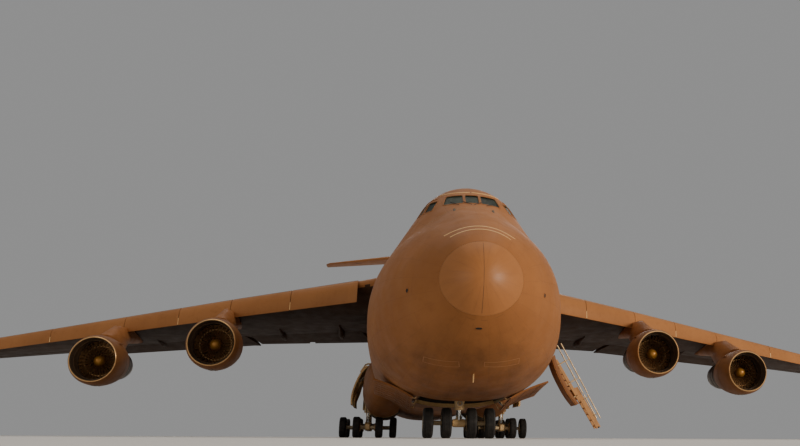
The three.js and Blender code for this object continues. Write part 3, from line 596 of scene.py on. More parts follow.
def weathered(name, color, layout, rough=0.5, dark=LAMPLIT_TAN_DARK, light=LAMPLIT_TAN_LIGHT, streak=(0.5, 6.0, 6.0), joint=0.75, belly=None):
    """Matte aircraft paint: panels of slightly different shade, dark joints, stains along the airflow, fine orange
    peel; with belly, painted shade darker towards the bottom.
    """
    p = Paint(name)
    p.b.inputs["Specular IOR Level"].default_value = 0.18
    u, v, w, h = layout(p)
    joints, shade = p.grid(u, v, w, h, 0.0045)
    fine, fine_shade = p.grid(p.add(u, 0.31), p.add(v, 0.17), w * 0.5, h * 1.5, 0.0022, 0.0)
    c = p.mix(p.mul(shade, 0.16), color, light)
    c = p.mix(p.mul(fine_shade, 0.10), c, dark)
    cloud = p.noise(p.at, 0.45, 5.0, 0.6)
    c = p.mix(p.span(cloud, 0.42, 0.75, 0.0, 0.35), c, light)
    c = p.mix(p.span(cloud, 0.55, 0.25, 0.0, 0.30), c, dark)
    sx, sy, sz = streak
    runs = p.noise(p.vec(p.mul(p.x, sx if sx != 0.5 else 5.0), p.mul(p.y, 0.35), p.mul(p.z, sz)), 1.3, 6.0, 0.6)
    c = p.mix(p.span(runs, 0.54, 0.78, 0.0, 0.28), c, dark)
    specks = p.noise(p.at, 18.0, 3.0, 0.7)
    c = p.mix(p.span(specks, 0.62, 0.80, 0.0, 0.16), c, dark)
    c = p.mix(p.span(specks, 0.36, 0.20, 0.0, 0.12), c, light)
    # belly: painted shade, the paint darker towards the bottom between heights lo and hi, broken up by noise
    if belly:
        lo, hi, amount = belly
        painted_low_shade = p.mul(p.span(p.z, lo, hi, 1.0, 0.0, True), p.span(p.noise(p.vec(p.x, p.mul(p.y, 0.4), p.z), 1.6, 6.0, 0.65), 0.3, 0.7))
        c = p.mix(p.mul(painted_low_shade, amount), c, srgb(62, 38, 22))
    c = p.mix(p.mul(joints, joint), c, srgb(72, 46, 28))
    c = p.mix(p.mul(fine, joint * 0.45), c, srgb(90, 58, 36))
    p.bump(p.add(p.mul(p.m("MAXIMUM", joints, p.mul(fine, 0.5)), -1.0), p.mul(p.noise(p.at, 90.0, 2.0), 0.25)), 0.35, 0.002)
    return p.done(c, p.add(p.span(p.noise(p.at, 3.0, 4.0), 0.3, 0.7, rough - 0.07, rough + 0.1), p.mul(specks, 0.08)))


def body_layout(p):
    angle = p.m("ARCTAN2", p.x, p.m("SUBTRACT", p.z, 2.45))
    return p.add(p.y, 40.0), p.mul(p.add(angle, 4.0), 1.95), 1.30, 0.52


def wing_layout(p):
    ax = p.m("ABSOLUTE", p.x)
    lead = p.add(p.mul(ax, 0.516), (20.2 - Y0) * SCALE)
    chord = p.m("MAXIMUM", p.add(p.mul(ax, -0.3964), 13.84 * SCALE), p.add(p.mul(ax, -0.2001), 11.446 * SCALE))
    share = p.m("DIVIDE", p.m("SUBTRACT", p.y, lead), chord)
    return p.add(ax, 0.4), p.add(p.mul(share, 2.4), 4.0), 1.15, 0.36


def tail_layout(p):
    return p.add(p.m("SUBTRACT", p.y, p.mul(p.z, 0.9)), 30.0), p.z, 0.9, 0.45


def small_layout(p):
    return p.add(p.y, 40.0), p.add(p.add(p.z, p.m("ABSOLUTE", p.x)), 2.0), 0.62, 0.34


# belly gives painted shade towards the bottom, on the body here and on paint_small
weathered("paint_body", LAMPLIT_TAN, body_layout, 0.5, joint=0.26, belly=(0.5, 2.7, 0.72))
weathered("paint_wing", LAMPLIT_TAN, wing_layout, 0.48, joint=0.5)
# painted shade: a dark paint for the lower skins, standing in for the shade under the wings
weathered("paint_under", srgb(58, 37, 22), wing_layout, 0.6, dark=srgb(36, 23, 14), light=srgb(76, 50, 31), joint=0.5)
weathered("paint_tail", LAMPLIT_TAN, tail_layout, 0.5, joint=0.5)
weathered("paint_small", srgb(143, 92, 51), small_layout, 0.52, joint=0.4, belly=(0.4, 1.7, 0.6))
# The srgb tones of these paints carry the same painted lamplight tint.
weathered("paint_slat", srgb(166, 111, 65), wing_layout, 0.45, joint=0.12)
weathered("paint_cowl", srgb(114, 74, 42), small_layout, 0.48, joint=0.4)


def radome_paint():
    p = Paint("radome_paint")
    p.b.inputs["Specular IOR Level"].default_value = 0.3
    dz = p.m("SUBTRACT", p.z, RADOME_EDGE[2] * SCALE)
    angle = p.m("ARCTAN2", p.x, dz)
    r = p.m("SQRT", p.add(p.mul(p.x, p.x), p.mul(dz, dz)))
    fan = p.noise(p.vec(p.mul(angle, 2.2), p.mul(r, 1.2), 0.0), 2.4, 5.0, 0.6)
    # The radome tones also carry the orange-brown painted lamplight tint.
    c = p.mix(p.span(fan, 0.3, 0.75, 0.0, 0.6), srgb(155, 100, 55), srgb(168, 110, 61))
    c = p.mix(p.span(p.noise(p.at, 2.0, 6.0, 0.65), 0.55, 0.8, 0.0, 0.35), c, srgb(136, 87, 48))
    specks = p.noise(p.at, 30.0, 3.0, 0.7)
    c = p.mix(p.span(specks, 0.6, 0.78, 0.0, 0.22), c, srgb(114, 71, 39))
    c = p.mix(p.span(r, 0.60, 0.70, 0.0, 0.1), c, srgb(172, 116, 68))
    p.bump(p.add(p.mul(specks, 0.3), p.noise(p.at, 140.0, 2.0)), 0.12, 0.001)
    return p.done(c, p.span(fan, 0.3, 0.7, 0.36, 0.5))


radome_paint()


def simple(name, color, dark, rough=0.5, metallic=0.0, scale=6.0, grain=0.12, wear=None, coat=0.0, dirt=0.35):
    """A finish with blotches, fine grain and dirt in patches."""
    p = Paint(name, metallic, coat)
    big = p.noise(p.at, scale, 5.0, 0.6)
    c = p.mix(p.span(big, 0.45, 0.75, 0.0, dirt), color, dark)
    small = p.noise(p.at, scale * 9, 3.0, 0.7)
    c = p.mix(p.span(small, 0.58, 0.8, 0.0, dirt * 0.8), c, dark)
    if wear:
        c = p.mix(p.span(p.noise(p.at, scale * 4, 6.0, 0.75), 0.62, 0.68, 0.0, 0.8), c, wear)
    p.bump(p.noise(p.at, scale * 22, 2.0), grain, 0.002)
    return p.done(c, p.span(big, 0.3, 0.7, rough - 0.08, rough + 0.12))


simple("cream", srgb(216, 180, 128), srgb(132, 98, 60), 0.4, coat=0.1)
simple("mark_cream", srgb(228, 184, 122), srgb(186, 140, 88), 0.5, dirt=0.25)
simple("liner", srgb(178, 166, 132), srgb(110, 96, 70), 0.6, scale=3.0)
simple("liner_dark", srgb(92, 82, 66), srgb(52, 45, 36), 0.7, scale=3.0)
simple("chrome", srgb(205, 202, 196), srgb(150, 140, 125), 0.16, 1.0, grain=0.03, dirt=0.2)
simple("steel", srgb(160, 152, 142), srgb(96, 84, 72), 0.36, 1.0, scale=9.0)
simple("lip_metal", srgb(232, 186, 128), srgb(178, 130, 82), 0.32, 0.6, scale=4.0, grain=0.04, dirt=0.3)
simple("duct", srgb(56, 42, 30), srgb(30, 22, 16), 0.5, scale=5.0)
simple("duct_light", srgb(120, 92, 66), srgb(70, 54, 40), 0.45, scale=5.0)
simple("blade_metal", srgb(190, 144, 96), srgb(84, 60, 38), 0.26, 0.85, scale=7.0)
simple("spinner_gold", srgb(176, 122, 50), srgb(120, 78, 32), 0.32, 0.35, scale=5.0, grain=0.05, dirt=0.3)
# dark metal for the core and the slat tracks; also dark painted shade on the slats' hollow backs
simple("hot_metal", srgb(72, 56, 42), srgb(36, 28, 22), 0.45, 0.7, scale=4.0, dirt=0.5)
simple("soot", srgb(34, 30, 28), srgb(18, 16, 15), 0.75)
simple("seal", srgb(40, 36, 33), srgb(24, 22, 20), 0.8)
simple("brake", srgb(168, 134, 92), srgb(92, 70, 46), 0.5, 0.4)
simple("hub_paint", srgb(206, 184, 146), srgb(110, 88, 60), 0.45, scale=9.0, dirt=0.5)
simple("hose", srgb(44, 40, 38), srgb(24, 22, 21), 0.55)
simple("deck_coat", srgb(112, 104, 90), srgb(70, 64, 54), 0.75, scale=4.0, grain=0.35, wear=srgb(150, 144, 132))
simple("tread_grit", srgb(70, 64, 58), srgb(40, 36, 32), 0.85, scale=8.0, grain=0.5)
simple("rail_alloy", srgb(214, 184, 140), srgb(142, 112, 76), 0.38, 0.3, scale=8.0, grain=0.05)
simple("lamp", srgb(206, 204, 196), srgb(170, 166, 156), 0.08, 0.0, coat=1.0, grain=0.02, dirt=0.1)
simple("diverter", srgb(84, 57, 37), srgb(60, 41, 27), 0.6)
simple("strip_faint", srgb(140, 90, 49), srgb(122, 77, 41), 0.5)
simple("ladder_tan", srgb(190, 138, 86), srgb(120, 80, 44), 0.45, scale=8.0)
# painted shade: near-black paint for the bay walls and pod door linings, standing in for the shade inside the bays
simple("bay_painted_shade", srgb(50, 41, 31), srgb(28, 23, 18), 0.7, scale=3.0)
# cream paint for frames and door edges; also painted light on the nose gear bay's aft cut face and the forward pod
# bay's lower front edge
simple("sill_cream", srgb(222, 180, 120), srgb(160, 118, 70), 0.5, scale=3.0, dirt=0.4)


def tyre_rubber():
    p = Paint("tyre_rubber")
    c = p.mix(p.span(p.noise(p.at, 9.0, 5.0, 0.6), 0.4, 0.75, 0.0, 0.7), srgb(30, 27, 25), srgb(58, 52, 46))
    c = p.mix(p.span(p.noise(p.at, 70.0, 3.0, 0.7), 0.55, 0.8, 0.0, 0.4), c, srgb(76, 66, 56))
    p.bump(p.noise(p.at, 130.0, 3.0, 0.7), 0.3, 0.002)
    return p.done(c, p.span(p.noise(p.at, 14.0, 3.0), 0.3, 0.7, 0.68, 0.9))


tyre_rubber()


def pane_glass():
    p = Paint("pane_glass", coat=0.03, ior=1.2)
    p.b.inputs["Specular IOR Level"].default_value = 0.25
    c = p.mix(p.span(p.noise(p.at, 2.4, 4.0, 0.6), 0.42, 0.62), srgb(8, 12, 9), srgb(34, 46, 32))
    c = p.mix(p.span(p.noise(p.at, 16.0, 4.0, 0.6), 0.55, 0.8, 0.0, 0.4), c, srgb(84, 92, 62))
    p.b.inputs["Coat Roughness"].default_value = 0.03
    return p.done(c, p.span(p.noise(p.at, 30.0, 3.0), 0.3, 0.7, 0.3, 0.48))


pane_glass()

# ---------- fuselage ----------
OUTER_Y = [9 * (k / 36) ** 2 for k in range(1, 37)] + [10, 11] + list(range(12, 45, 2)) + list(range(45, 71)) + [70.3]
outer = loft([body_ring(y) for y in OUTER_Y], tip0=(0, 0, 5.2))
INNER_Y = [0.25 + (9 - 0.25) * (k / 24) ** 2 for k in range(25)] + [10, 11] + list(range(12, 45, 4)) + list(range(46, 69, 2)) + [69]


def within(inset):
    return loft([body_ring(y, inset) for y in INNER_Y])


inner = within(SKIN)
HULL = BVHTree.FromPolygons([Vector(p) for p in outer[0]], outer[1])


def skin_point(p):
    """Nearest point of the hull and its outward normal."""
    q, n, _, _ = HULL.find_nearest(Vector(p))
    zc = station(BODY, min(max(q.y, 0.02), 70))[2]
    if n.dot(q - Vector((0, max(q.y, 0.8) + (0.6 if q.y < 2 else 0), zc))) < 0:
        n = -n
    return q, n


def ahead_of(x, z):
    """The hull seen from straight ahead at (x, z)."""
    q, n, _, _ = HULL.ray_cast(Vector((x, -4, z)), Vector((0, 1, 0)))
    return q


def ribbon(points, width, lift=0.006, sink=0.012, step=0.12):
    """A thin strip lying on the hull along the given points."""
    path = []
    for a, b in zip(points, points[1:]):
        a, b = Vector(a), Vector(b)
        k = max(1, int((b - a).length / step))
        path += [a.lerp(b, i / k) for i in range(k)]
    path.append(Vector(points[-1]))
    on = [skin_point(p) for p in path]
    rings = []
    for i, (q, n) in enumerate(on):
        t = (on[min(i + 1, len(on) - 1)][0] - on[max(i - 1, 0)][0]).normalized()
        s = t.cross(n).normalized() * (width / 2)
        rings.append([q + s + n * lift, q - s + n * lift, q - s - n * sink, q + s - n * sink])
    return loft(rings)


slope = (VISOR_FOOT[0] - VISOR_HINGE[0]) / (VISOR_HINGE[1] - VISOR_FOOT[1])


def break_y(z):
    return VISOR_HINGE[0] + (VISOR_HINGE[1] - z) * slope


def ahead(d):
    return side_plate([(-2, 12), (break_y(12) + d, 12), (break_y(0) + d, 0), (-2, 0)], -6, 6)


def inside_liner(center, normal):
    """Faces that look at the axis of the hull get the lining."""
    x, y, z = center
    zc = station(BODY, min(max(y, 0.02), 70.2))[2]
    out = Vector((x, 0, z - zc))
    if y < 3:
        out.y = -(3 - y)
    if out.length < 1e-6:
        return None
    return "liner" if out.normalized().dot(Vector(normal)) < -0.25 else None


def ellipse_plug(g, y0=-1, y1=3, n=96):
    return loft(
        [
            [((RADOME_EDGE[0] + g) * math.cos(2 * math.pi * k / n), y, RADOME_EDGE[2] + (RADOME_EDGE[1] + g) * math.sin(2 * math.pi * k / n)) for k in range(n)]
            for y in (y0, y1)
        ]
    )


nose = minus(meet(outer, ahead(-RUN)), inner)
visor = largest(minus(nose, ellipse_plug(0.004)))
radome = largest(meet(nose, ellipse_plug(0)))

# Marks and fittings of the visor.
marks = []
for top, fall, half in ((7.33, 0.235, 1.27), (7.15, 0.27, 1.07)):
    marks.append((ribbon([ahead_of(x, top - fall * x * x) for x in np.linspace(-half, half, 41)], 0.05, 0.004), "mark_cream"))
outline_color = "mark_cream"
for quad in (
    [(-1.78, 2.93, 2.8), (-0.58, 2.41, 2.61), (-0.53, 2.71, 2.45), (-1.79, 3.21, 2.66)],
    [(0.32, 2.36, 2.61), (1.6, 2.73, 2.81), (1.62, 3.05, 2.64), (0.34, 2.62, 2.47)],
):
    marks.append((ribbon([*quad, quad[0]], 0.016, 0.003), "outline"))
for x, z in ((-2.46, 5.02), (2.39, 4.98)):
    q, n = skin_point(ahead_of(x, z))
    to = Vector((0, 0, 1)).rotation_difference(n).to_matrix().to_4x4()
    place = Matrix.Translation(q) @ to
    marks.append((change(lathe([(-0.05, 0.075), (0.014, 0.075), (0.02, 0.083), (0.014, 0.092), (-0.05, 0.092)], (0, 0, 0), "z", 24, True), place), "paint_slat"))
    marks.append((change(lathe([(-0.04, 0), (-0.04, 0.08), (0.006, 0.08), (0.006, 0)], (0, 0, 0), "z", 24), place), "soot"))
q, n = skin_point(ahead_of(-0.05, 3.61))
to = Matrix.Translation(q) @ Vector((0, 0, 1)).rotation_difference(n).to_matrix().to_4x4()
slot_ring = [(0.1 * max(-1, min(1, 1.25 * math.cos(t))), 0.045 * math.sin(t)) for t in np.linspace(0, 2 * math.pi, 24, endpoint=False)]
marks.append((change(loft([[(x, y, h) for x, y in slot_ring] for h in (-0.03, 0.008)]), to), "soot"))
marks.append((change(loft([[(x * s, y * s, h) for x, y in slot_ring] for s, h in ((1.25, -0.03), (1.25, 0.012), (1.1, 0.016), (1.1, -0.03))]), to), "paint_small"))
# blade aerial under the chin
q, n = skin_point((0.02, 3.2, 2.2))
marks.append((loft([[(q.x + 0.02 * math.cos(t), q.y + 0.14 * math.sin(t) + d * 0.25, q.z + 0.03 - d) for t in np.linspace(0, 2 * math.pi, 16, endpoint=False)] for d in (0, 0.15, 0.3)]), "mark_cream"))
# hinge arms in the roof
for x in (-0.75, 0.75):
    marks.append((bar([(x, 5.3, 8.35), (x, 4.85, 8.55), (x, 4.62, 8.6), (x, 4.2, 8.2)], 0.09, 0.16), "liner_dark"))
# stiffening frames inside
ribs = []
for y in (1.6, 2.6, 3.6, 4.6, 5.6):
    slab = side_plate([(y - 0.05, 0), (y + 0.05, 0), (y + 0.05, break_y(y) + 20), (y - 0.05, break_y(y) + 20)], -5, 5)
    ring = minus(meet(within(SKIN - 0.02), slab), within(SKIN + 0.13))
    ring = meet(ring, ahead(-RUN - 0.05)) if y > 4 else ring
    if ring[1]:
        ribs.append((ring, "liner"))

simple("outline", srgb(170, 119, 72), srgb(140, 94, 54), 0.5, dirt=0.3)
piece("visor_shell", [(visor, "paint_body")], "visor", ["visor"], repaint=inside_liner)
piece("visor_fittings", marks, "visor", smooth=40)
piece("visor_frames", ribs, "visor")

strips = []
for k in range(16):
    a = 2 * math.pi * (k + 0.5) / 16
    r0, r1 = 0.22, 0.93
    line = [ahead_of(r * math.cos(a) * RADOME_EDGE[0], RADOME_EDGE[2] + r * math.sin(a) * RADOME_EDGE[1]) for r in np.linspace(r0, r1, 10)]
    strips.append((ribbon(line, 0.006, 0.002), "strip_faint"))
strips.append((ribbon([ahead_of(0.0, z) for z in np.linspace(6.5, 4.06, 24)], 0.013, 0.003), "diverter"))
piece("radome_shell", [(radome, "radome_paint")], "visor", ["radome"], repaint=inside_liner)
piece("radome_strips", strips, "visor")

# ---------- fuselage behind the visor ----------
SIDE_OUTLINES = [
    [(5.88, 8.86), (6.36, 9.38), (6.96, 9.4), (6.52, 8.86)],
    [(6.66, 8.86), (7.1, 9.4), (7.66, 9.4), (7.32, 8.86)],
]


def rounded(outline, r=0.07, n=4):
    out = []
    for i, p in enumerate(outline):
        a, b, c = Vector(outline[i - 1]), Vector(p), Vector(outline[(i + 1) % len(outline)])
        u, w = (a - b).normalized() * r, (c - b).normalized() * r
        for k in range(n + 1):
            t = k / n
            out.append(tuple(b + u * (1 - t) ** 2 + w * t * t))
    return out


pane_cuts = [cross_plate(rounded(o), 4.9, 7.6) for o in FRONT_PANES]
side_cuts = [side_plate(rounded(o), s * 0.4, s * 3) for o in SIDE_OUTLINES for s in (-1, 1)]


def door_wedge(grow, top):
    return box(3.0, 4.4, DOOR["y0"] - grow, DOOR["y1"] + grow, DOOR["hinge_z"] + 0.03 - grow, DOOR["hinge_z"] + top + grow)


front = minus(meet(outer, side_plate([(break_y(12), 12), (21.4, 12), (21.4, 0), (break_y(0), 0)], -6, 6)), inner)
front = minus(front, door_wedge(RUN, DOOR["reach"] + 0.02), box(-BAY["x"], BAY["x"], BAY["y0"], BAY["y1"], 0, 2.2), *pane_cuts, *side_cuts)


def front_paint(center, normal):
    # the aft cut face of the nose gear bay gets pale painted light, as if lit from below
    if abs(center[1] - BAY["y1"]) < 0.02 and abs(center[0]) < BAY["x"] and center[2] < 2.3 and normal[1] < -0.5:
        return "sill_cream"
    return inside_liner(center, normal)


piece("fuselage_front_shell", [(largest(front), "paint_body")], "airframe", ["fuselage_front"], repaint=front_paint)

skin_band = minus(within(0.03), within(0.075))
panes = [meet(skin_band, c) for c in pane_cuts + side_cuts]
panes = [largest(g) for g in panes if g[1]]
piece("flight_deck_panes", [(g, "pane_glass") for g in panes], "airframe", ["flight_deck_glass"])


def rim(points, width=0.05, lift=0.012):
    return ribbon([*points, points[0]], width, lift, step=0.06)


def on_front(x, z):
    q, _, _, _ = HULL.ray_cast(Vector((x, 3.0, z)), Vector((0, 1, 0)))
    return q


def on_side(y, z, s):
    q, _, _, _ = HULL.ray_cast(Vector((s * 6, y, z)), Vector((-s, 0, 0)))
    return q


deck_trim = []
for o in FRONT_PANES:
    mid = Vector((sum(p[0] for p in o) / 4, sum(p[1] for p in o) / 4))
    loop = rounded([(mid.x + (p[0] - mid.x) * 1.1, mid.y + (p[1] - mid.y) * 1.13) for p in o], 0.09)
    pts = []
    for p, q in zip(loop, loop[1:] + loop[:1]):
        pts += [on_front(*(Vector(p).lerp(Vector(q), t))) for t in (0, 0.5)]
    deck_trim.append((rim(pts, 0.05), "paint_small"))
for o in SIDE_OUTLINES:
    mid = Vector((sum(p[0] for p in o) / 4, sum(p[1] for p in o) / 4))
    for s in (-1, 1):
        loop = rounded([tuple(mid + (Vector(p) - mid) * 1.08) for p in o], 0.09)
        deck_trim.append((rim([on_side(*p, s) for p in loop], 0.05), "paint_small"))
# brow over the windows and drip rails
for s in (-1, 1):
    deck_trim.append((ribbon([on_front(s * x, 9.76 + 0.05 * (1 - x / 1.3)) for x in np.linspace(0.04, 1.2, 14)], 0.04, 0.02), "mark_cream"))
    deck_trim.append((ribbon([on_side(y, 9.55 + 0.02 * (y - 6), s) for y in np.linspace(6.7, 9.2, 12)], 0.03, 0.02), "paint_small"))
    # wipers
    for x in (0.55, 0.05):
        a, b = on_front(s * x, 8.93), on_front(s * (x + 0.32), 9.12)
        deck_trim.append((tube([a + Vector((0, -0.03, 0.02)), b + Vector((0, -0.03, 0.03))], 0.012, 6), "seal"))
piece("flight_deck_trim", deck_trim, "airframe")

center = minus(meet(outer, box(-6, 6, 21.4 + FIT, 36, 0, 12)), inner)
piece("fuselage_center_shell", [(center, "paint_body")], "airframe", ["fuselage_center"], repaint=inside_liner)


def petal_side(g):
    return [
        (PETAL["y0"] - g, 0), (PETAL["y1"] + g + 0.3555 * (PETAL["z1"] + g), 0),
        (PETAL["y1"] + g, PETAL["z1"] + g), (PETAL["y0"] - g, PETAL["z0"] + g),
    ]


rear = minus(meet(outer, box(-6, 6, 36 + FIT, 60, 0, 12)), inner)
rear = minus(
    rear,
    box(-RAMP["x"] - RUN, RAMP["x"] + RUN, RAMP["hinge"][1] - RUN, PETAL["y0"], 0, 3.6),
    side_plate(petal_side(RUN), -PETAL["x"] - RUN, PETAL["x"] + RUN),
)
piece("fuselage_rear_shell", [(largest(rear), "paint_body")], "airframe", ["fuselage_rear"], repaint=inside_liner)
tail = minus(meet(outer, box(-6, 6, 60 + FIT, 71, 0, 12)), inner)
piece("tail_cone_shell", [(largest(tail), "paint_body")], "airframe", ["tail_cone"], repaint=inside_liner)
ramp_outline = [(46, 2.64), (46, 0), (RAMP["end_y"] + 0.25, 0), (RAMP["end_y"], 2.1), (RAMP["top_y"], RAMP["top_z"])]
rear_ramp = meet(outer, side_plate(ramp_outline, -RAMP["x"], RAMP["x"]))


def ramp_paint(center, normal):
    return "deck_coat" if normal[2] > 0.5 else None


treads = []
for k in range(9):
    y = 46.4 + k * 0.52
    z = lerp(2.64, RAMP["top_z"], (y - 46) / (RAMP["top_y"] - 46))
    treads.append((block(-2.4, 2.4, y, y + 0.06, z - 0.01, z + 0.02, 0.006), "steel"))
piece("rear_ramp_slab", [(rear_ramp, "paint_body"), *treads], "rear_ramp", ["rear_ramp"], repaint=ramp_paint)
petal = minus(meet(outer, side_plate(petal_side(0), RUN, PETAL["x"])), inner)
petal = largest(petal)
petal_ribs = []
for y in (52.4, 53.8, 55.2, 56.6, 58.0):
    r = meet(minus(meet(within(SKIN - 0.03), side_plate(petal_side(-0.06), RUN + 0.05, PETAL["x"] - 0.16)), within(SKIN + 0.09)), box(0, 4, y, y + 0.06, 0, 12))
    if r[1]:
        petal_ribs.append(r)
for side, f in (("left", lambda s: s), ("right", mirror)):
    piece(
        f"rear_side_door_{side}_panel",
        [(f(petal), "paint_body"), *[(f(r), "liner") for r in petal_ribs]],
        f"rear_side_door_{side}", [f"rear_side_door_{side}"], repaint=inside_liner,
    )

# ---------- floors ----------
room = within(SKIN + 0.004)
floor = meet(room, box(-6, 6, FRONT_RAMP[0] + 0.2, RAMP["hinge"][1] - RUN, 2.35, 2.65))
# the walls of the nose gear bay get near-black painted shade
bay = minus(
    meet(room, box(-BAY["x"] - 0.12, BAY["x"] + 0.12, BAY["y0"] - 0.12, BAY["y1"] + 0.12, 1, 2.36)),
    box(-BAY["x"], BAY["x"], BAY["y0"], BAY["y1"], 0, 2.33),
)
fit_out = []
for x in (-2.3, -1.15, 0, 1.15, 2.3):  # roller trays along the floor
    fit_out.append((block(x - 0.08, x + 0.08, 7.2, 45.6, 2.64, 2.67, 0.006), "steel"))
for k in range(8):  # frames in the roof and walls of the nose gear bay
    y = BAY["y0"] + 0.25 + k * 0.49
    fit_out.append((block(-BAY["x"] + 0.01, BAY["x"] - 0.01, y, y + 0.05, 2.2, 2.335, 0.01), "liner_dark"))
    for s in (-1, 1):
        fit_out.append((block(*sorted((s * (BAY["x"] - 0.001), s * (BAY["x"] - 0.07))), y, y + 0.05, 1.62, 2.33, 0.01), "liner_dark"))
for x, z in ((-1.5, 2.17), (-1.4, 2.14), (1.46, 2.15)):
    fit_out.append((tube([(x, BAY["y0"] + 0.02, z), (x, 9, z - 0.02), (x, 10.4, z + 0.02), (x, BAY["y1"] - 0.02, z)], 0.022, 8), "hose"))
piece("hold_floor", [(floor, "deck_coat"), (bay, "bay_painted_shade"), *fit_out], "airframe", ["cargo_floor"])
deck = meet(room, box(-6, 6, 6.4, 47, 6.85, 7.05))
piece("upper_deck_floor", [(deck, "deck_coat")], "airframe", ["upper_deck"])

ry, rz = FRONT_RAMP
ramp_parts = [(block(-2.6, 2.6, ry - 0.03, ry + 0.23, rz + 0.12, 6.7, 0.03), "deck_coat")]
for s in (-1, 1):
    ramp_parts.append((block(*sorted((s * 2.0, s * 2.3)), ry - 0.1, ry + 0.1, rz - 0.1, rz + 0.2, 0.03), "steel"))
for k in range(7):
    z = 3.1 + k * 0.52
    ramp_parts.append((block(-2.4, 2.4, ry + 0.225, ry + 0.245, z, z + 0.05, 0.006), "steel"))
    ramp_parts.append((block(-2.5, 2.5, ry - 0.055, ry - 0.02, z + 0.1, z + 0.2, 0.01), "liner"))
piece("front_ramp_slab", ramp_parts, "front_ramp", ["front_ramp"])

# ---------- crew door and ladder ----------
hinge_at, hinge_axis = (DOOR["hinge_x"], DOOR_MID, DOOR["hinge_z"]), (0, 1, 0)


def opened(part):
    return turn(part, hinge_at, hinge_axis, DOOR["swing"])


closed_cut = door_wedge(0, DOOR["reach"] - 0.02)
door_skin = largest(minus(meet(outer, closed_cut), within(0.05)))
door_parts = [(opened(door_skin), "paint_small")]
wall = minus(meet(within(0.04), closed_cut), within(SKIN))
for k in range(7):
    z = DOOR["hinge_z"] + 0.06 + k * 0.355
    r = meet(wall, box(3, 4.4, DOOR["y0"] + 0.03, DOOR["y1"] - 0.03, z, z + 0.045))
    if r[1]:
        door_parts.append((opened(r), "strip_faint"))
for y in (DOOR["y0"], DOOR["y0"] + 0.32, DOOR["y1"] - 0.36, DOOR["y1"] - 0.05):
    r = meet(wall, box(3, 4.4, y, y + 0.05, 0, 12))
    door_parts.append((opened(r), "strip_faint"))


def along(t, lift, y):
    s, top = LADDER["slope"], LADDER["top"]
    return (top[0] + s[0] * t - s[1] * lift, y, top[1] + s[1] * t + s[0] * lift)


def rail_lift(t):
    return 0.32 - 0.037 * t


def rail(t0, t1, y, r):
    """Straight handrail."""
    return tube([along(t, rail_lift(t), y) for t in (t0, (t0 + t1) / 2, t1)], r, 12)


for s in (-1, 1):
    y = DOOR_MID + s * 0.44
    door_parts.append((rail(-1.95, 0.42, y, 0.026), "rail_alloy"))
    for t in (-1.2, -0.3):
        door_parts.append((tube([along(t, rail_lift(t), y), along(t, -0.26, y)], 0.017, 8), "rail_alloy"))
    y = DOOR_MID + s * 0.325
    door_parts.append((bar([along(-1.45, -0.14, y), along(0.5, -0.14, y)], 0.05, 0.13), "ladder_tan"))
    for t in (-1.2, 0.3):
        door_parts.append((bar([along(t, -0.1, y), along(t, -0.29, y)], 0.05, 0.05), "rail_alloy"))
for k in range(6):
    t = -1.36 + k * 0.29
    x, _, z = along(t, -0.175, 0)
    door_parts.append((block(x - 0.065, x + 0.065, DOOR_MID - 0.3, DOOR_MID + 0.3, z - 0.015, z + 0.012, 0.006), "ladder_tan"))
    door_parts.append((block(x - 0.055, x + 0.055, DOOR_MID - 0.28, DOOR_MID + 0.28, z + 0.01, z + 0.016, 0.003), "tread_grit"))
piece("crew_door_panel", door_parts, "crew_door", ["crew_door"], smooth=40)

ladder = []
for s in (-1, 1):
    y, yr = DOOR_MID + s * 0.24, DOOR_MID + s * 0.36
    ladder.append((bar([along(0, 0.01, y), along(LADDER["length"], 0.01, y)], 0.05, 0.2), "ladder_tan"))
    ladder.append((rail(0.47, 1.62, yr, 0.026), "rail_alloy"))
    for t in (0.6, 1.4):
        ladder.append((tube([along(t, rail_lift(t), yr), along(t, 0.17, (y + yr) / 2 + s * 0.03), along(t, 0.02, y)], 0.017, 8), "rail_alloy"))
    foot = along(LADDER["length"] - 0.02, 0.02, y)
    ladder.append((lathe([(-0.035, 0), (-0.035, 0.035), (0.035, 0.035), (0.035, 0)], foot, "y", 20), "seal"))
t = 0.1
while t < LADDER["length"]:
    x, _, z = along(t, 0.02, 0)
    ladder.append((block(x - 0.065, x + 0.065, DOOR_MID - 0.235, DOOR_MID + 0.235, z - 0.016, z + 0.012, 0.006), "ladder_tan"))
    ladder.append((block(x - 0.055, x + 0.055, DOOR_MID - 0.2, DOOR_MID + 0.2, z + 0.01, z + 0.018, 0.003), "tread_grit"))
    t += 0.29
piece("crew_ladder_frame", ladder, "crew_ladder", ["crew_ladder"], smooth=40)

# doorway frame, on the fuselage
frame_cut = minus(
    box(3.0, 4.4, DOOR["y0"] - 0.09, DOOR["y1"] + 0.09, DOOR["hinge_z"] - 0.06, DOOR["hinge_z"] + DOOR["reach"] + 0.1),
    door_wedge(RUN + 0.002, DOOR["reach"] + 0.02),
)
door_frame = minus(meet(loft([body_ring(y, -0.012) for y in OUTER_Y], tip0=(0, -0.01, 5.2)), frame_cut), within(0.02))
piece("crew_doorway_frame", [(door_frame, "paint_small")], "airframe")

# ---------- landing-gear pods ----------
POD_Y = [21.2, 21.35, 21.6, 21.9, 22.2, 22.7, 23.3, 23.9, 24.5, 25.3, 26.1, 27, 28, 29, 31, 33, 35, 36, 37, 38, 39, 40, 41, 41.8, 42.5, 43.2]


def pod_loft(inset=0.0, ys=POD_Y):
    return loft([pod_ring(y, inset) for y in ys])


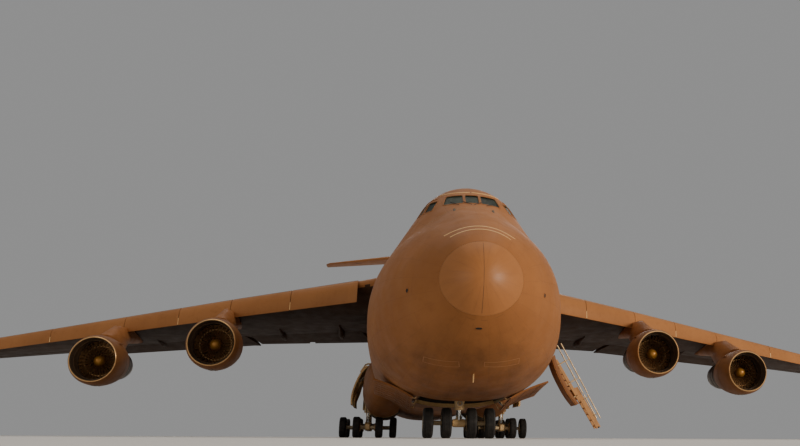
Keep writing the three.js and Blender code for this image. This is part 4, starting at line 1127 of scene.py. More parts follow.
outer_fit = loft([body_ring(y, -0.004) for y in OUTER_Y], tip0=(0, -0.01, 5.2))
INNER_POD_Y = [24.5, 25.3, 26.1, 27, 28, 29, 31, 33, 35, 36, 37, 38]
pod_full = pod_loft()
pod_in6, pod_in10, pod_in14, pod_in20 = [pod_loft(v, INNER_POD_Y) for v in (0.045, 0.075, 0.1, 0.13)]
pod_at5 = pod_loft(0.04, INNER_POD_Y)
pod_body = pod_full
for y in MAIN_Y:
    pod_body = minus(pod_body, box(2.2, 6, y - 1.52, y + 1.52, 0, 4.3))
pod_body = largest(minus(pod_body, outer_fit))
pod_parts = [(pod_body, "paint_small")]
for y in MAIN_Y:
    cut = box(4.0, 6, y - 1.45, y + 1.45, 1.75, 4.22)
    doors = [(largest(minus(meet(pod_full, cut), pod_in6)), "paint_small")]
    lining = box(4.02, 6, y - 1.42, y + 1.42, 1.78, 4.19)
    # the door lining gets near-black painted shade
    doors.append((minus(meet(pod_at5, lining), pod_in10), "bay_painted_shade"))
    for k in range(6):
        a = y - 1.449 + k * 0.57
        doors.append((minus(meet(pod_at5, box(4.01, 6, a, a + 0.05, 1.76, 4.21)), pod_in14 if k == 0 else pod_in20), "sill_cream" if k in (0, 2, 4) else "liner"))
    for z in (1.77, 2.2, 2.8, 3.4, 3.95):
        doors.append((minus(meet(pod_at5, box(4.0, 6, y - 1.44, y + 1.44, z, z + 0.05)), pod_in14), "sill_cream"))
    edge = lambda z, inset: POD_AT[0] + (station(POD, y, False)[1] - inset) * (1 - abs((z - POD_AT[1]) / (station(POD, y, False)[2] - inset)) ** 2.4) ** (1 / 2.4)
    for k in range(5):  # diagonal stiffeners between the frames
        a = y - 1.36 + k * 0.55
        for z0, z1 in ((2.15, 2.75), (3.4, 2.8), (3.42, 3.95)):
            doors.append((tube([(edge(z0, 0.13), a, z0), (edge(z1, 0.2), a + 0.5, z1)], 0.03, 6), "sill_cream"))
    doors = [(turn(p, (4.1, y, 4.5), (0, 1, 0), -20), m) for p, m in doors if p[1]]
    for d in (-1, 1):
        doors.append((tube([(4.02, y + d, 4.4), (4.25, y + d, 4.42), (4.4, y + d, 4.36), (4.68, y + d, 3.92)], 0.05, 10), "cream"))
        doors.append((tube([(3.95, y + d * 0.62, 4.2), (4.8, y + d * 0.62, 3.35)], 0.035, 10), "chrome"))
        doors.append((tube([(3.95, y + d * 0.62, 4.2), (4.4, y + d * 0.62, 3.75)], 0.055, 10), "cream"))
    for k in range(5):  # frames of the bay roof
        a = y - 1.4 + k * 0.66
        doors.append((block(2.22, 4.12, a, a + 0.06, 4.2, 4.31, 0.01), "liner_dark"))
    doors.append((tube([(2.6, y - 1.5, 4.1), (2.6, y, 4.05), (2.6, y + 1.5, 4.1)], 0.03, 8), "hose"))
    doors.append((tube([(2.75, y - 1.5, 4.12), (2.75, y, 4.08), (2.75, y + 1.5, 4.12)], 0.02, 8), "chrome"))
    pod_parts += doors


# a pale strip along the lower front edge of the forward bay: a painted highlight of light from the floor
sill = minus(meet(pod_loft(-0.006), box(2.3, 5.4, MAIN_Y[0] - 1.62, MAIN_Y[0] - 1.525, 0, 2.7)), pod_loft(0.03, INNER_POD_Y))
pod_parts.append((sill, "sill_cream"))


def pod_paint(center, normal):
    x, y, z = center
    for m in MAIN_Y:  # the pale front and rear edges of the doors
        if abs(abs(y - m) - 1.45) < 0.004 and abs(normal.y) > 0.9:
            return "sill_cream"
    for m in MAIN_Y:
        if abs(y - m) < 1.53 and z < 4.31 and (abs(abs(x) - 2.2) < 0.01 or abs(abs(y - m) - 1.52) < 0.003 or abs(z - 4.3) < 0.003):
            return "liner_dark"
    return None


for side, f in (("left", lambda s: s), ("right", mirror)):
    piece(f"gear_pod_{side}_body", [(f(p), m) for p, m in pod_parts], "airframe", [f"gear_pod_{side}"], smooth=40, repaint=pod_paint)

# ---------- wings ----------
def wing_ring(r, n=26, grow=0.0):
    pts = []
    for a, h in section(r[5], n):
        pts.append((r[0], r[1] + a * r[2], r[3] - r[4] * r[2] * a + h * r[2] * (1 + grow)))
    return pts


tip = WING[3]
wing = loft([wing_ring(r) for r in WING[:3]] + [wing_ring(tip), wing_ring([tip[0] + 0.06, tip[1] + 0.25, tip[2] - 0.45, tip[3] - 0.02, tip[4], tip[5] * 0.55])])


def wing_panel(x0, x1, share, gap, lift):
    a, b = row_at(WING, x0), row_at(WING, x1)
    at = lambda r: Vector((r[0], r[1] + share * r[2], r[3] - r[4] * r[2] * share + lift * 0.0275 * r[2] * (r[5] / 0.11)))
    p, q = at(a), at(b)
    d = q - p
    fall, sweep = math.degrees(math.atan2(-d.z, math.hypot(d.x, d.y))), math.degrees(math.atan2(d.y, d.x))

    def region(g, fore):
        s = box(p.x - g, p.x + d.length + g, p.y - fore, p.y + 5, p.z - 3, p.z + 3)
        return turn(turn(s, p, (0, 1, 0), fall), p, (0, 0, 1), sweep)

    return region(0, 0), region(RUN, gap), p, q


PANELS = dict(flap_inner=(4.9, 12.15, 0.75, 0.02, -1), flap_outer=(12.5, 22.8, 0.75, 0.02, -1), aileron=(24.0, 32.2, 0.75, 0.135, 0))
wing_whole, panel_shapes = wing, {}
for key, spec in PANELS.items():
    keep, hole, p, q = wing_panel(*spec)
    panel_shapes[key] = largest(meet(wing_whole, keep))
    wing = minus(wing, hole)
for key, droop in (("flap_inner", 8), ("flap_outer", 11)):  # the flaps hang a little down
    _, _, p, q = wing_panel(*PANELS[key])
    if key == "flap_inner":
        r = row_at(WING, 8.26)
        panel_shapes[key] = minus(panel_shapes[key], box(8.08, 8.44, r[1] + r[2] - 0.36, r[1] + r[2] + 0.6, 4, 10))
    panel_shapes[key] = turn(panel_shapes[key], p, q - p, -droop)
panel_shapes["flap_inner"] = largest(minus(panel_shapes["flap_inner"], loft([body_ring(y, -RUN) for y in OUTER_Y], tip0=(0, -0.05, 5.2))))
wing = largest(minus(wing, outer_fit))


def wing_skin(x, s, off):
    """A point round the section: s runs from -1 at the lower trailing edge over 0 at the nose to 1; off is outward."""
    def at(u):
        a = u * u
        return Vector(wing_point(x, a, 1 if u >= 0 else -1))

    e = 1e-3
    t = (at(min(s + e, 1)) - at(max(s - e, -1))).normalized()
    n = Vector((0, -t.z, t.y))
    if n.y > 0 and abs(s) < 0.3:
        n = -n
    if s > 0.25 and n.z < 0 or s < -0.25 and n.z > 0:
        n = -n
    return at(s) + n * off


# ahead of the leading edge and above it, for a lip one metre down
SLAT_OUT = [(0.44, 0.355), (0.2, 0.325), (0.0, 0.255), (-0.17, 0.14), (-0.3, -0.02), (-0.39, -0.22), (-0.45, -0.45), (-0.485, -0.7), (-0.495, -0.96), (-0.485, -1.0)]
SLAT_IN = [(-0.455, -1.0), (-0.44, -0.8), (-0.41, -0.58), (-0.35, -0.34), (-0.25, -0.13), (-0.12, 0.04), (0.05, 0.14), (0.25, 0.19), (0.44, 0.2)]


def slat(x0, x1, points=SLAT_OUT + SLAT_IN, grow=0.0):
    rings = []
    stops = sorted({x0, x1, *[x for x in (12.2,) if x0 < x < x1]})
    for x in stops:
        r, d = row_at(WING, x), 1.08 - 0.0165 * x
        rings.append([(x, r[1] + a * d, r[3] + h * d) for a, h in points])
    return loft(rings)


wing_extra = []
for a, b in ((4.95, 8.78), (8.81, 12.385), (12.415, 15.61), (15.64, 19.135), (19.165, 24.16), (24.19, 28.51), (28.54, 32.9)):
    wing_extra.append((slat(a, b), "paint_slat"))
    # a lip bead and the seam where the slat meets the wing
    lip = [(-0.5, -0.985), (-0.51, -1.01), (-0.48, -1.03), (-0.45, -1.01), (-0.45, -0.985)]
    wing_extra.append((slat(a + 0.01, b - 0.01, lip), "paint_slat"))
    wing_extra.append((slat(a + 0.02, b - 0.02, [(0.43, 0.33), (0.43, 0.372), (0.47, 0.385), (0.5, 0.33)]), "seal"))
for x in (5.6, 7.9, 9.5, 11.4, 13.6, 15.0, 16.5, 18.2, 20.4, 23.0, 25.4, 27.6, 29.6, 31.8):  # tracks behind the slats
    r, d = row_at(WING, x), 1.08 - 0.0165 * x
    wing_extra.append((side_plate([(r[1] - 0.3 * d, r[3] - 0.2 * d), (r[1] - 0.36 * d, r[3] - 0.62 * d), (r[1] + 0.25 * d, r[3] - 0.32 * d), (r[1] + 0.3 * d, r[3] - 0.1 * d)], x - 0.03, x + 0.03), "hot_metal"))
for x in (8.795, 15.625, 24.175):  # bright end caps at the joints
    r, d = row_at(WING, x), 1.08 - 0.0165 * x
    wing_extra.append((side_plate([(r[1] - 0.51 * d, r[3] - 0.98 * d), (r[1] - 0.46 * d, r[3] - 0.5 * d), (r[1] - 0.43 * d, r[3] - 0.5 * d), (r[1] - 0.47 * d, r[3] - 0.98 * d)], x - 0.02, x + 0.02), "mark_cream"))
# fillet at the wing root
root = []
for k in range(9):
    t = k / 8
    x = lerp(2.2, 4.55, t)
    r = row_at(WING, x)
    g = (1 - t) ** 2
    root.append(
        [
            (x, r[1] - 0.9 * g + a * (r[2] + 2.2 * g), r[3] - r[4] * r[2] * a + h * r[2] * (1 + 0.34 * g) + (0.012 if h > 0 else -0.012))
            for a, h in section(r[5], 26)
        ]
    )
wing_extra.append((largest(minus(loft(root), outer_fit, wing_panel(*PANELS["flap_inner"])[1])), "paint_wing"))
# fairings of the flap tracks
for x in (6.2, 10.0, 14.6, 18.1, 21.6):
    r = row_at(WING, x)
    y0, length = r[1] + 0.5 * r[2], 0.47 * r[2]
    rad = 0.02 * r[2] + 0.05
    prof = [(length * u, rad * (math.sin(math.pi * min(1, u * 1.25) * 0.5) ** 0.8 if u < 0.4 else math.cos((u - 0.4) / 0.6 * math.pi / 2) ** 0.7)) for u in np.linspace(0, 1, 15)]
    prof[0], prof[-1] = (0, 0), (length, 0)
    base = wing_point(x, 0.5, -1)
    low = wing_point(x, 0.98, -1) if x > 23 else (x, wing_point(x, 0.98, -1)[1], wing_point(x, 0.98, -1)[2] - 0.012 * r[2])
    tilt = math.degrees(math.atan2(low[2] - base[2], low[1] - base[1]))
    shape = lathe(prof, (0, 0, 0), "y", 18)
    shape = ([(px * 0.75, py, pz * 1.25) for px, py, pz in shape[0]], shape[1])
    shape = change(shape, Matrix.Translation((x, base[1], base[2] - 0.02)) @ Matrix.Rotation(math.radians(tilt), 4, "X"))
    wing_extra.append((shape, "paint_small"))
# static wicks and the tip lamp
for x in (24.6, 27.0, 29.4, 31.6):
    a = wing_point(x, 1.0)
    wing_extra.append((tube([(x, a[1] - 0.02, a[2]), (x, a[1] + 0.16, a[2] - 0.01)], 0.006, 6), "soot"))
t0 = wing_point(33.6, 0.02)
wing_extra.append((change(ball((0, 0, 0), 0.13, 16), Matrix.Translation((33.72, t0[1] + 0.3, t0[2])) @ Matrix.Diagonal((0.8, 1.7, 0.7, 1))), "lamp"))


def under_paint(center, normal):
    """Lower skins get a darker paint: painted shade under the wings."""
    x, y, z = abs(center[0]), center[1], center[2]
    if x < 2.2 or x > 33.9:
        return None
    r = row_at(WING, x)
    share = (y - r[1]) / r[2]
    mid = r[3] - r[4] * r[2] * share
    if 0.0 < share < 1.02 and z < mid and normal.z < 0.2:
        return "paint_under"
    return None


def wing_repaint(center, normal):
    x, y, z = abs(center[0]), center[1], center[2]
    r = row_at(WING, x)
    d = 1.08 - 0.0165 * x
    if y < r[1] + 0.02 and x > 4.9:
        # the slat: its hollow back gets dark painted shade
        if normal.y > 0.25 and z < r[3] + 0.2 * d:
            return "hot_metal"
        return None
    return under_paint(center, normal)


for side, f in (("left", lambda s: s), ("right", mirror)):
    piece(f"wing_{side}_box", [(f(wing), "paint_wing"), *[(f(p), m) for p, m in wing_extra]], "airframe", [f"wing_{side}"], smooth=32, repaint=wing_repaint)
    for key, shape in panel_shapes.items():
        body = f"{key}_{side}" if key == "aileron" else "airframe"
        piece(f"{key}_{side}_surface", [(f(shape), "paint_wing")], body, [f"{key}_{side}"], smooth=32, repaint=under_paint)

# ---------- tail ----------
def profile_smooth(pts, n=40):
    """Radii between the given [distance, radius] pairs, on a monotone curve."""
    out = []
    a, b = pts[0][0], pts[-1][0]
    for k in range(n + 1):
        u = 0.5 * (1 - math.cos(math.pi * k / n))
        out.append((lerp(a, b, u), max(0.0, station(pts, lerp(a, b, u), False)[1])))
    out[0], out[-1] = (a, pts[0][1]), (b, pts[-1][1])
    return out


bullet = lathe(profile_smooth([[0, 0], [0.12, 0.16], [0.5, 0.32], [1.8, 0.53], [5.5, 0.6], [8.2, 0.42], [9.3, 0.14], [9.6, 0]]), (0, 64.6, 19.24), "y", 40)


def stab_z(r, a):  # trimmed a little nose down
    return r[3] + (a - 0.35) * r[2] * 0.05


def stab_ring(r, n=22, flat=1.0):
    return [(r[0], r[1] + a * r[2], stab_z(r, a) + h * r[2] * flat) for a, h in section(r[4], n)]


stab = loft([stab_ring(r) for r in STAB] + [stab_ring([STAB[2][0] + 0.04, STAB[2][1] + 0.2, STAB[2][2] - 0.35, STAB[2][3], STAB[2][4]], flat=0.5)])
ends = [row_at(STAB, x) for x in (0.9, 9.7)]
p, q = [Vector((r[0], r[1] + 0.7 * r[2], stab_z(r, 0.7))) for r in ends]
angle = math.degrees(math.atan2(q.y - p.y, q.x - p.x))
fall = math.degrees(math.atan2(p.z - q.z, math.hypot(q.x - p.x, q.y - p.y)))


def stab_region(g, fore):
    s = box(p.x - g, p.x + (q - p).length + g, p.y - fore, p.y + 4, p.z - 2, p.z + 2)
    return turn(turn(s, p, (0, 1, 0), fall), p, (0, 0, 1), angle)


elevator = largest(minus(meet(stab, stab_region(0, 0)), change(bullet, Matrix.Translation((0, 0, 19.24)) @ Matrix.Diagonal((1.03, 1, 1.03, 1)) @ Matrix.Translation((0, 0, -19.24)))))
stab = minus(stab, stab_region(RUN, 0.1))
tail_bits = [(bullet, "paint_small"), (stab, "paint_tail"), (mirror(stab), "paint_tail")]
for x in (9.9, -9.9):
    tail_bits.append((tube([(x, 75.1, 19.08), (x, 75.3, 19.08)], 0.006, 6), "soot"))
tail_bits.append((ball((0, 74.12, 19.24), 0.07, 14), "lamp"))
piece("tailplane_surface", tail_bits, "airframe", ["tailplane"], smooth=32)
piece("elevator_left_surface", [(elevator, "paint_tail")], "elevator_left", ["elevator_left"], smooth=32)
piece("elevator_right_surface", [(mirror(elevator), "paint_tail")], "elevator_right", ["elevator_right"], smooth=32)

fin = loft([[(h * r[2], r[1] + a * r[2], r[0]) for a, h in section(r[3], 24)] for r in FIN])
p, q = [Vector((0, r[1] + RUDDER["share"] * r[2], r[0])) for r in (row_at(FIN, 10), row_at(FIN, RUDDER["top"]))]
lean = math.degrees(math.atan2(q.y - p.y, q.z - p.z))


def fin_region(g, fore):
    return turn(box(-1.5, 1.5, p.y - fore, p.y + 6, p.z - g, p.z + (q - p).length + g), p, (1, 0, 0), -lean)


rudder = largest(meet(meet(fin, fin_region(0, 0)), box(-2, 2, 50, 80, RUDDER["foot"], 20)))
fin = minus(fin, meet(fin_region(RUN, 0.19), box(-2, 2, 50, 80, RUDDER["sill"], 20)))
fin = largest(minus(fin, outer_fit))
fin_bits = [(fin, "paint_tail")]
# dorsal fairing in front of the fin
rings = []
for k in range(17):
    y = lerp(50.6, 60.3, k / 16)
    t = (y - 50.6) / 7.9
    h = 0.02 + 2.0 * t**2.4
    if y > 58.4:  # from here on inside the fin
        h = min(h, 9.6 + (y - 55.4) * 0.94 - 0.12 - 10.45)
    w = (0.08 + 0.55 * min(1, t) ** 0.8) * (1 if y < 57 else lerp(1, 0.16, (y - 57) / 3.3))
    rings.append([(w * math.cos(a) * (1 - 0.35 * max(0, math.sin(a)) ** 2), y, 10.25 + (h + 0.2) * max(0.0, math.sin(a)) ** 1.2 + (0 if math.sin(a) > 0 else 0.1 * math.sin(a))) for a in np.linspace(0, 2 * math.pi, 28, endpoint=False)])
fin_bits.append((loft(rings), "paint_tail"))
for z in (12.0, 13.6, 15.2, 16.8):
    r = row_at(FIN, z)
    y = r[1] + RUDDER["share"] * r[2]
    w = half_thickness(0.7, r[3]) * r[2]
    for s in (-1, 1):
        fin_bits.append((block(*sorted((s * (w - 0.02), s * (w + 0.03))), y - 0.62, y - 0.24, z - 0.05, z + 0.05, 0.015), "paint_small"))
piece("fin_surface", fin_bits, "airframe", ["fin"], smooth=32)
piece("rudder_surface", [(rudder, "paint_tail")], "rudder", ["rudder"], smooth=32)

# ---------- engines ----------
COWL_OUT = [
    (0.0, 1.202), (0.01, 1.222), (0.035, 1.244), (0.09, 1.276), (0.18, 1.31), (0.32, 1.35), (0.5, 1.378), (0.72, 1.394), (1.0, 1.402),
    (1.4, 1.4), (1.62, 1.389), (1.625, 1.372), (1.655, 1.37), (1.66, 1.386), (1.95, 1.355), (2.3, 1.305), (2.7, 1.23), (3.05, 1.148),
]
COWL_IN = [
    (3.05, 1.125), (2.8, 1.13), (2.4, 1.145), (1.9, 1.16), (1.32, 1.17), (1.3, 1.158), (1.1, 1.15), (1.08, 1.138), (0.86, 1.126),
    (0.84, 1.114), (0.6, 1.09), (0.45, 1.084), (0.3, 1.098), (0.17, 1.128), (0.07, 1.16), (0.025, 1.183),
]
BLADES = 30
CORE_LINE = [[1.75, 0.42], [2.1, 0.64], [2.5, 0.82], [3.2, 0.92], [4.4, 0.9], [5.6, 0.68]]


def offset_outline(pts, d):
    """The outline moved outward by d (inward when negative); the outline runs clockwise or counterclockwise."""
    area = sum(a[0] * b[1] - b[0] * a[1] for a, b in zip(pts, pts[1:] + pts[:1]))
    s, out = (1 if area > 0 else -1), []
    for i, p in enumerate(pts):
        a, b = Vector(pts[i - 1]), Vector(pts[(i + 1) % len(pts)])
        e0, e1 = (Vector(p) - a).normalized(), (b - Vector(p)).normalized()
        n = Vector((e0.y + e1.y, -e0.x - e1.x)).normalized() * s
        out.append((p[0] + n.x * d, p[1] + n.y * d))
    return out


def smooth_outline(pts, times=2):
    for _ in range(times):
        out = []
        for a, b in zip(pts, pts[1:] + pts[:1]):
            out += [(0.8 * a[0] + 0.2 * b[0], 0.8 * a[1] + 0.2 * b[1]), (0.2 * a[0] + 0.8 * b[0], 0.2 * a[1] + 0.8 * b[1])]
        pts = out
    return pts


def fan_blade(x, y, z, k):
    rings = []
    for r, chord, twist, bend in ((0.27, 0.3, 24, 0.0), (0.5, 0.33, 38, 0.006), (0.75, 0.35, 50, 0.0), (0.98, 0.36, 58, -0.01), (1.13, 0.35, 63, -0.02)):
        t = math.radians(twist)
        ring = []
        for u, w in ((-0.5, 0.0), (-0.3, 0.012), (0.0, 0.018), (0.3, 0.012), (0.5, 0.0), (0.3, -0.004), (0.0, -0.002), (-0.3, -0.004)):
            a, b = u * chord, w + 0.03 * (0.25 - u * u)
            ring.append((x + a * math.sin(t) + b * math.cos(t) + bend, y + 1.47 + a * math.cos(t) - b * math.sin(t), z + r))
        rings.append(ring)
    return turn(loft(rings), (x, y, z), (0, 1, 0), 360 * k / BLADES)


for i, (x, y, z) in enumerate(ENGINES):
    s = 1 if x > 0 else -1
    row = row_at(WING, abs(x))
    under = lambda share: row[3] - row[4] * row[2] * share - 0.02 * row[2]
    # plan sections from the core up to a point in front of the slat: z, leading edge, trailing edge, half width
    top = row[3] + 0.02
    nose = lambda h: lerp(y + 1.3, row[1] - 0.38, (h - z - 1.5) / (top - z - 1.5))
    levels = [
        (z + 0.55, y + 2.3, y + 5.2, 0.3), (z + 0.9, y + 2.05, y + 5.7, 0.38), (z + 1.15, y + 1.9, y + 6.1, 0.43), (z + 1.35, y + 1.35, y + 6.35, 0.44),
        (z + 1.5, y + 1.3, y + 6.6, 0.42), (z + 1.7, nose(z + 1.7), lerp(y + 6.6, row[1] + 0.56 * row[2], 0.6), 0.38), (z + 1.9, nose(z + 1.9), row[1] + 0.56 * row[2], 0.34),
        (row[3] - 0.55, nose(row[3] - 0.55), row[1] + 0.58 * row[2], 0.25), (row[3] - 0.47, row[1] - 0.24, row[1] + 0.57 * row[2], 0.23),
        (row[3] - 0.2, row[1] - 0.12, row[1] + 0.5 * row[2], 0.15), (row[3] - 0.06, row[1] - 0.02, row[1] + 0.4 * row[2], 0.085), (top, row[1] + 0.05, row[1] + 1.5, 0.03),
    ]
    plan = [(0, 0.0), (0.015, 0.3), (0.05, 0.6), (0.12, 0.85), (0.22, 0.97), (0.35, 1), (0.5, 0.95), (0.65, 0.82), (0.82, 0.5), (1, 0.04)]
    plan = plan + [(u, -k) for u, k in plan[:0:-1]]
    pylon = loft([[(x + k * w, a + (b - a) * u, h) for u, k in plan] for h, a, b, w in levels])
    w = wing_whole if x > 0 else mirror(wing_whole)
    pylon = largest(minus(pylon, w))
    # core, nozzle and plug
    core = lathe(
        profile_smooth(CORE_LINE, 26) + [(5.6, 0.64), (5.2, 0.6), (5.2, 0.5)] + [(5.6, 0.48), (5.85, 0.38), (6.1, 0.24), (6.35, 0.09), (6.5, 0)],
        (x, y, z), "y", 40,
    )
    parts = [(pylon, "paint_small"), (core, "hot_metal")]
    for d in (3.3, 4.1, 4.9, 5.45):  # bands round the core
        r = station(CORE_LINE, d, False)[1]
        parts.append((lathe([(d - 0.03, r - 0.02), (d - 0.03, r + 0.014), (d + 0.03, r + 0.012), (d + 0.03, r - 0.02)], (x, y, z), "y", 40, True), "steel"))
    for k in range(36):  # outlet guide vanes behind the fan
        vane = loft([[(x - 0.008, y + 2.05, z + r), (x + 0.008, y + 2.05, z + r), (x + 0.034, y + 2.45, z + r), (x + 0.022, y + 2.45, z + r)] for r in (0.6, 1.155)])
        parts.append((turn(vane, (x, y, z), (0, 1, 0), 10 * k), "duct"))
    parts.append((tube([(x, y + 2.6, z - 1.16), (x, y + 2.6, z - 0.75)], 0.07, 12), "duct"))
    piece(f"engine_{i + 1}_core", parts, "airframe", [f"engine_{i + 1}"], smooth=38)

    cowl = lathe(COWL_OUT + COWL_IN, (x, y, z), "y", 72, True)
    parts = [(cowl, "paint_cowl")]
    # seam and latches along the bottom, and a strake
    for d in (-1, 1):
        parts.append((turn(block(x - 0.025, x + 0.025, y + 0.6, y + 1.6, z - 1.408, z - 1.388, 0.005), (x, y, z), (0, 1, 0), d * 4), "diverter"))
        for q in (0.75, 1.1, 1.45, 1.9, 2.4):
            r = station([[a, b] for a, b in COWL_OUT], q, False)[1]
            parts.append((block(x - 0.07 + d * 0.11 - 0.02, x - 0.07 + d * 0.11 + 0.1, y + q - 0.02, y + q + 0.02, z - r - 0.008, z - r + 0.03, 0.004), "steel"))
    for d in (0.42, 0.86, 1.22):  # liner rings in the intake
        r = station([[a, b] for a, b in COWL_IN][::-1], d, False)[1]
        parts.append((lathe([(d - 0.012, r + 0.01), (d - 0.012, r - 0.007), (d + 0.012, r - 0.007), (d + 0.012, r + 0.01)], (x, y, z), "y", 72, True), "duct_light"))
    nd = [(y + 0.8, z + 1.37), (y + 1.0, z + 1.5), (y + 1.5, z + 1.5), (y + 1.55, z + 1.37)]
    parts.append((turn(side_plate(nd, x - 0.01, x + 0.01), (x, y, z), (0, 1, 0), -s * 48), "paint_small"))

    def cowl_paint(center, normal, at=(x, y, z)):
        a = center[1] - at[1]
        r = math.hypot(center[0] - at[0], center[2] - at[2])
        dx, dz = center[0] - at[0], center[2] - at[2]
        inside = normal.x * dx + normal.z * dz < 0
        if inside and r < 1.2:
            if a < 0.04:
                return "lip_metal"
            return "duct"
        if a < 0.06 and r > 1.15:
            return "lip_metal"
        if 1.62 < a < 1.66 and r < 1.4 and r > 1.3:
            return "diverter"
        return None

    piece(f"nacelle_{i + 1}_cowl", parts, "airframe", [f"nacelle_{i + 1}"], smooth=30, repaint=cowl_paint)

    parts = [(lathe([(1.0, 0)] + [(1.0 + 0.42 * (1 - math.cos(t)), 0.32 * math.sin(t) ** 0.9) for t in np.linspace(0.12, math.pi / 2, 12)] + [(1.45, 0.33), (1.46, 0.32)], (x, y, z), "y", 40), "spinner_gold")]
    parts.append((lathe([(1.44, 0), (1.44, 0.36), (1.5, 0.365), (1.7, 0.37), (1.7, 0)], (x, y, z), "y", 40), "blade_metal"))
    for k in range(BLADES):
        parts.append((fan_blade(x, y, z, k), "blade_metal"))
    parts.append((lathe([(1.4, 0.82), (1.4, 0.85), (1.53, 0.85), (1.53, 0.82)], (x, y, z), "y", 60, True), "blade_metal"))
    for k in range(8):
        parts.append((turn(ball((x, y + 1.44, z + 0.325), 0.012, 8), (x, y, z), (0, 1, 0), 45 * k), "steel"))
    piece(f"fan_{i + 1}_rotor", parts, f"fan_{i + 1}", [f"fan_{i + 1}"], smooth=40)

# ---------- wheels ----------
TREAD = [(-0.166, 0.6), (-0.138, 0.6165)]
for g in (-0.105, -0.035, 0.035, 0.105):
    TREAD += [(g - 0.009, 0.6215), (g - 0.007, 0.608), (g + 0.007, 0.608), (g + 0.009, 0.6215)]
TREAD += [(0.138, 0.6165), (0.166, 0.6)]
TYRE = [(-0.196, 0.325), (-0.206, 0.345), (-0.21, 0.38), (-0.215, 0.45), (-0.211, 0.51), (-0.194, 0.565)] + TREAD
TYRE += [(0.194, 0.565), (0.211, 0.51), (0.215, 0.45), (0.21, 0.38), (0.206, 0.345), (0.196, 0.325)]
TYRE = [(a, r + (0.001 if abs(r - 0.6215) < 1e-6 else 0)) for a, r in TYRE]
RIM = [
    (-0.2, 0.342), (-0.203, 0.318), (-0.19, 0.308), (-0.13, 0.296), (-0.07, 0.278), (-0.055, 0.25), (-0.05, 0.17), (-0.06, 0.15),
    (-0.12, 0.14), (-0.125, 0.105), (0.125, 0.105), (0.12, 0.14), (0.06, 0.15), (0.05, 0.17), (0.055, 0.25), (0.07, 0.278),
    (0.13, 0.296), (0.19, 0.308), (0.203, 0.318), (0.2, 0.342),
]


def wheel_set(x, offsets, y):
    """Tyres, rims, bolts and the turning axle."""
    out = []
    for o in offsets:
        at = (x + o, y, TYRE_R)
        out.append((lathe(TYRE, at, "x", 48, True), "tyre_rubber"))
        out.append((lathe(RIM, at, "x", 32, True), "hub_paint"))
        for k in range(8):
            t = 2 * math.pi * (k + 0.5) / 8
            by, bz = y + 0.21 * math.cos(t), TYRE_R + 0.21 * math.sin(t)
            out.append((tube([(x + o - 0.068, by, bz), (x + o + 0.068, by, bz)], 0.016, 6), "steel"))
        for d in (-1, 1):
            out.append((lathe([(0.1 * d, 0.0), (0.1 * d, 0.1), (0.15 * d, 0.095), (0.165 * d, 0.06), (0.165 * d, 0)], at, "x", 20), "steel"))
    end = abs(offsets[0]) + 0.205
    out.append((tube([(x - end, y, TYRE_R), (x + end, y, TYRE_R)], 0.098, 20), "hub_paint"))
    for d in (-1, 1):
        out.append((lathe([(d * (end - 0.01), 0), (d * (end - 0.01), 0.115), (d * (end + 0.006), 0.105), (d * (end + 0.01), 0)], (x, y, TYRE_R), "x", 20), "hub_paint"))
    return out


piece("nose_wheels_set", wheel_set(0, NOSE_WHEELS_X, NOSE_GEAR_Y), "nose_wheels", ["nose_wheels"], smooth=40)


def collar(x, y, z, r, h, n=24):
    return lathe([(-h / 2, r * 0.9), (-h * 0.35, r), (h * 0.35, r), (h / 2, r * 0.9)], (x, y, z), "z", n)


def cylinder(x, y, z0, z1, r, n=28):
    return lathe([(z0, 0), (z0, r - 0.008), (z0 + 0.008, r), (z1 - 0.008, r), (z1, r - 0.008), (z1, 0)], (x, y, 0), "z", n)


# ---------- nose leg ----------
gy = NOSE_GEAR_Y
leg = [
    (cylinder(0, gy, 1.78, 2.325, 0.26), "cream"),
    (collar(0, gy, 1.83, 0.285, 0.09), "cream"),
    (collar(0, gy, 2.12, 0.3, 0.1), "cream"),
    (tube([(0, gy + 0.1, 1.95), (0, 11.5, 2.2)], [0.09, 0.075], 16), "cream"),
    (tube([(-0.3, gy + 1.2, 2.05), (0.3, gy + 1.2, 2.05)], 0.04, 12), "steel"),
    (block(-0.35, 0.35, 11.45, 11.648, 2.05, 2.325, 0.03), "cream"),
    (tube([(-0.24, gy - 0.05, 2.28), (-0.24, gy - 0.27, 2.0), (-0.2, gy - 0.27, 1.82)], 0.018, 8), "hose"),
    (tube([(0.24, gy - 0.05, 2.28), (0.24, gy - 0.27, 2.0), (0.2, gy - 0.27, 1.82)], 0.018, 8), "hose"),
]
for d in (-1, 1):  # side stays and steering jacks
    leg.append((tube([(d * 0.22, gy, 1.9), (d * 0.95, gy + 0.12, 2.3)], 0.055, 14), "cream"))
    leg.append((tube([(d * 0.3, gy - 0.1, 1.86), (d * 0.42, gy - 0.1, 1.86)], 0.07, 14), "steel"))
    leg.append((block(*sorted((d * 0.86, d * 1.08)), gy, gy + 0.26, 2.2, 2.325, 0.02), "cream"))
    leg.append((ball((d * 0.34, gy - 0.3, 2.08), 0.05, 14), "lamp"))
    leg.append((lathe([(-0.02, 0.075), (0.05, 0.06), (0.08, 0.02), (0.08, 0)], (d * 0.34, gy - 0.3, 2.08), "y", 18), "steel"))
    leg.append((tube([(d * 0.34, gy - 0.22, 2.08), (d * 0.2, gy - 0.1, 2.08)], 0.02, 8), "steel"))
piece("nose_leg_strut", leg, "airframe", ["nose_leg"], smooth=40)

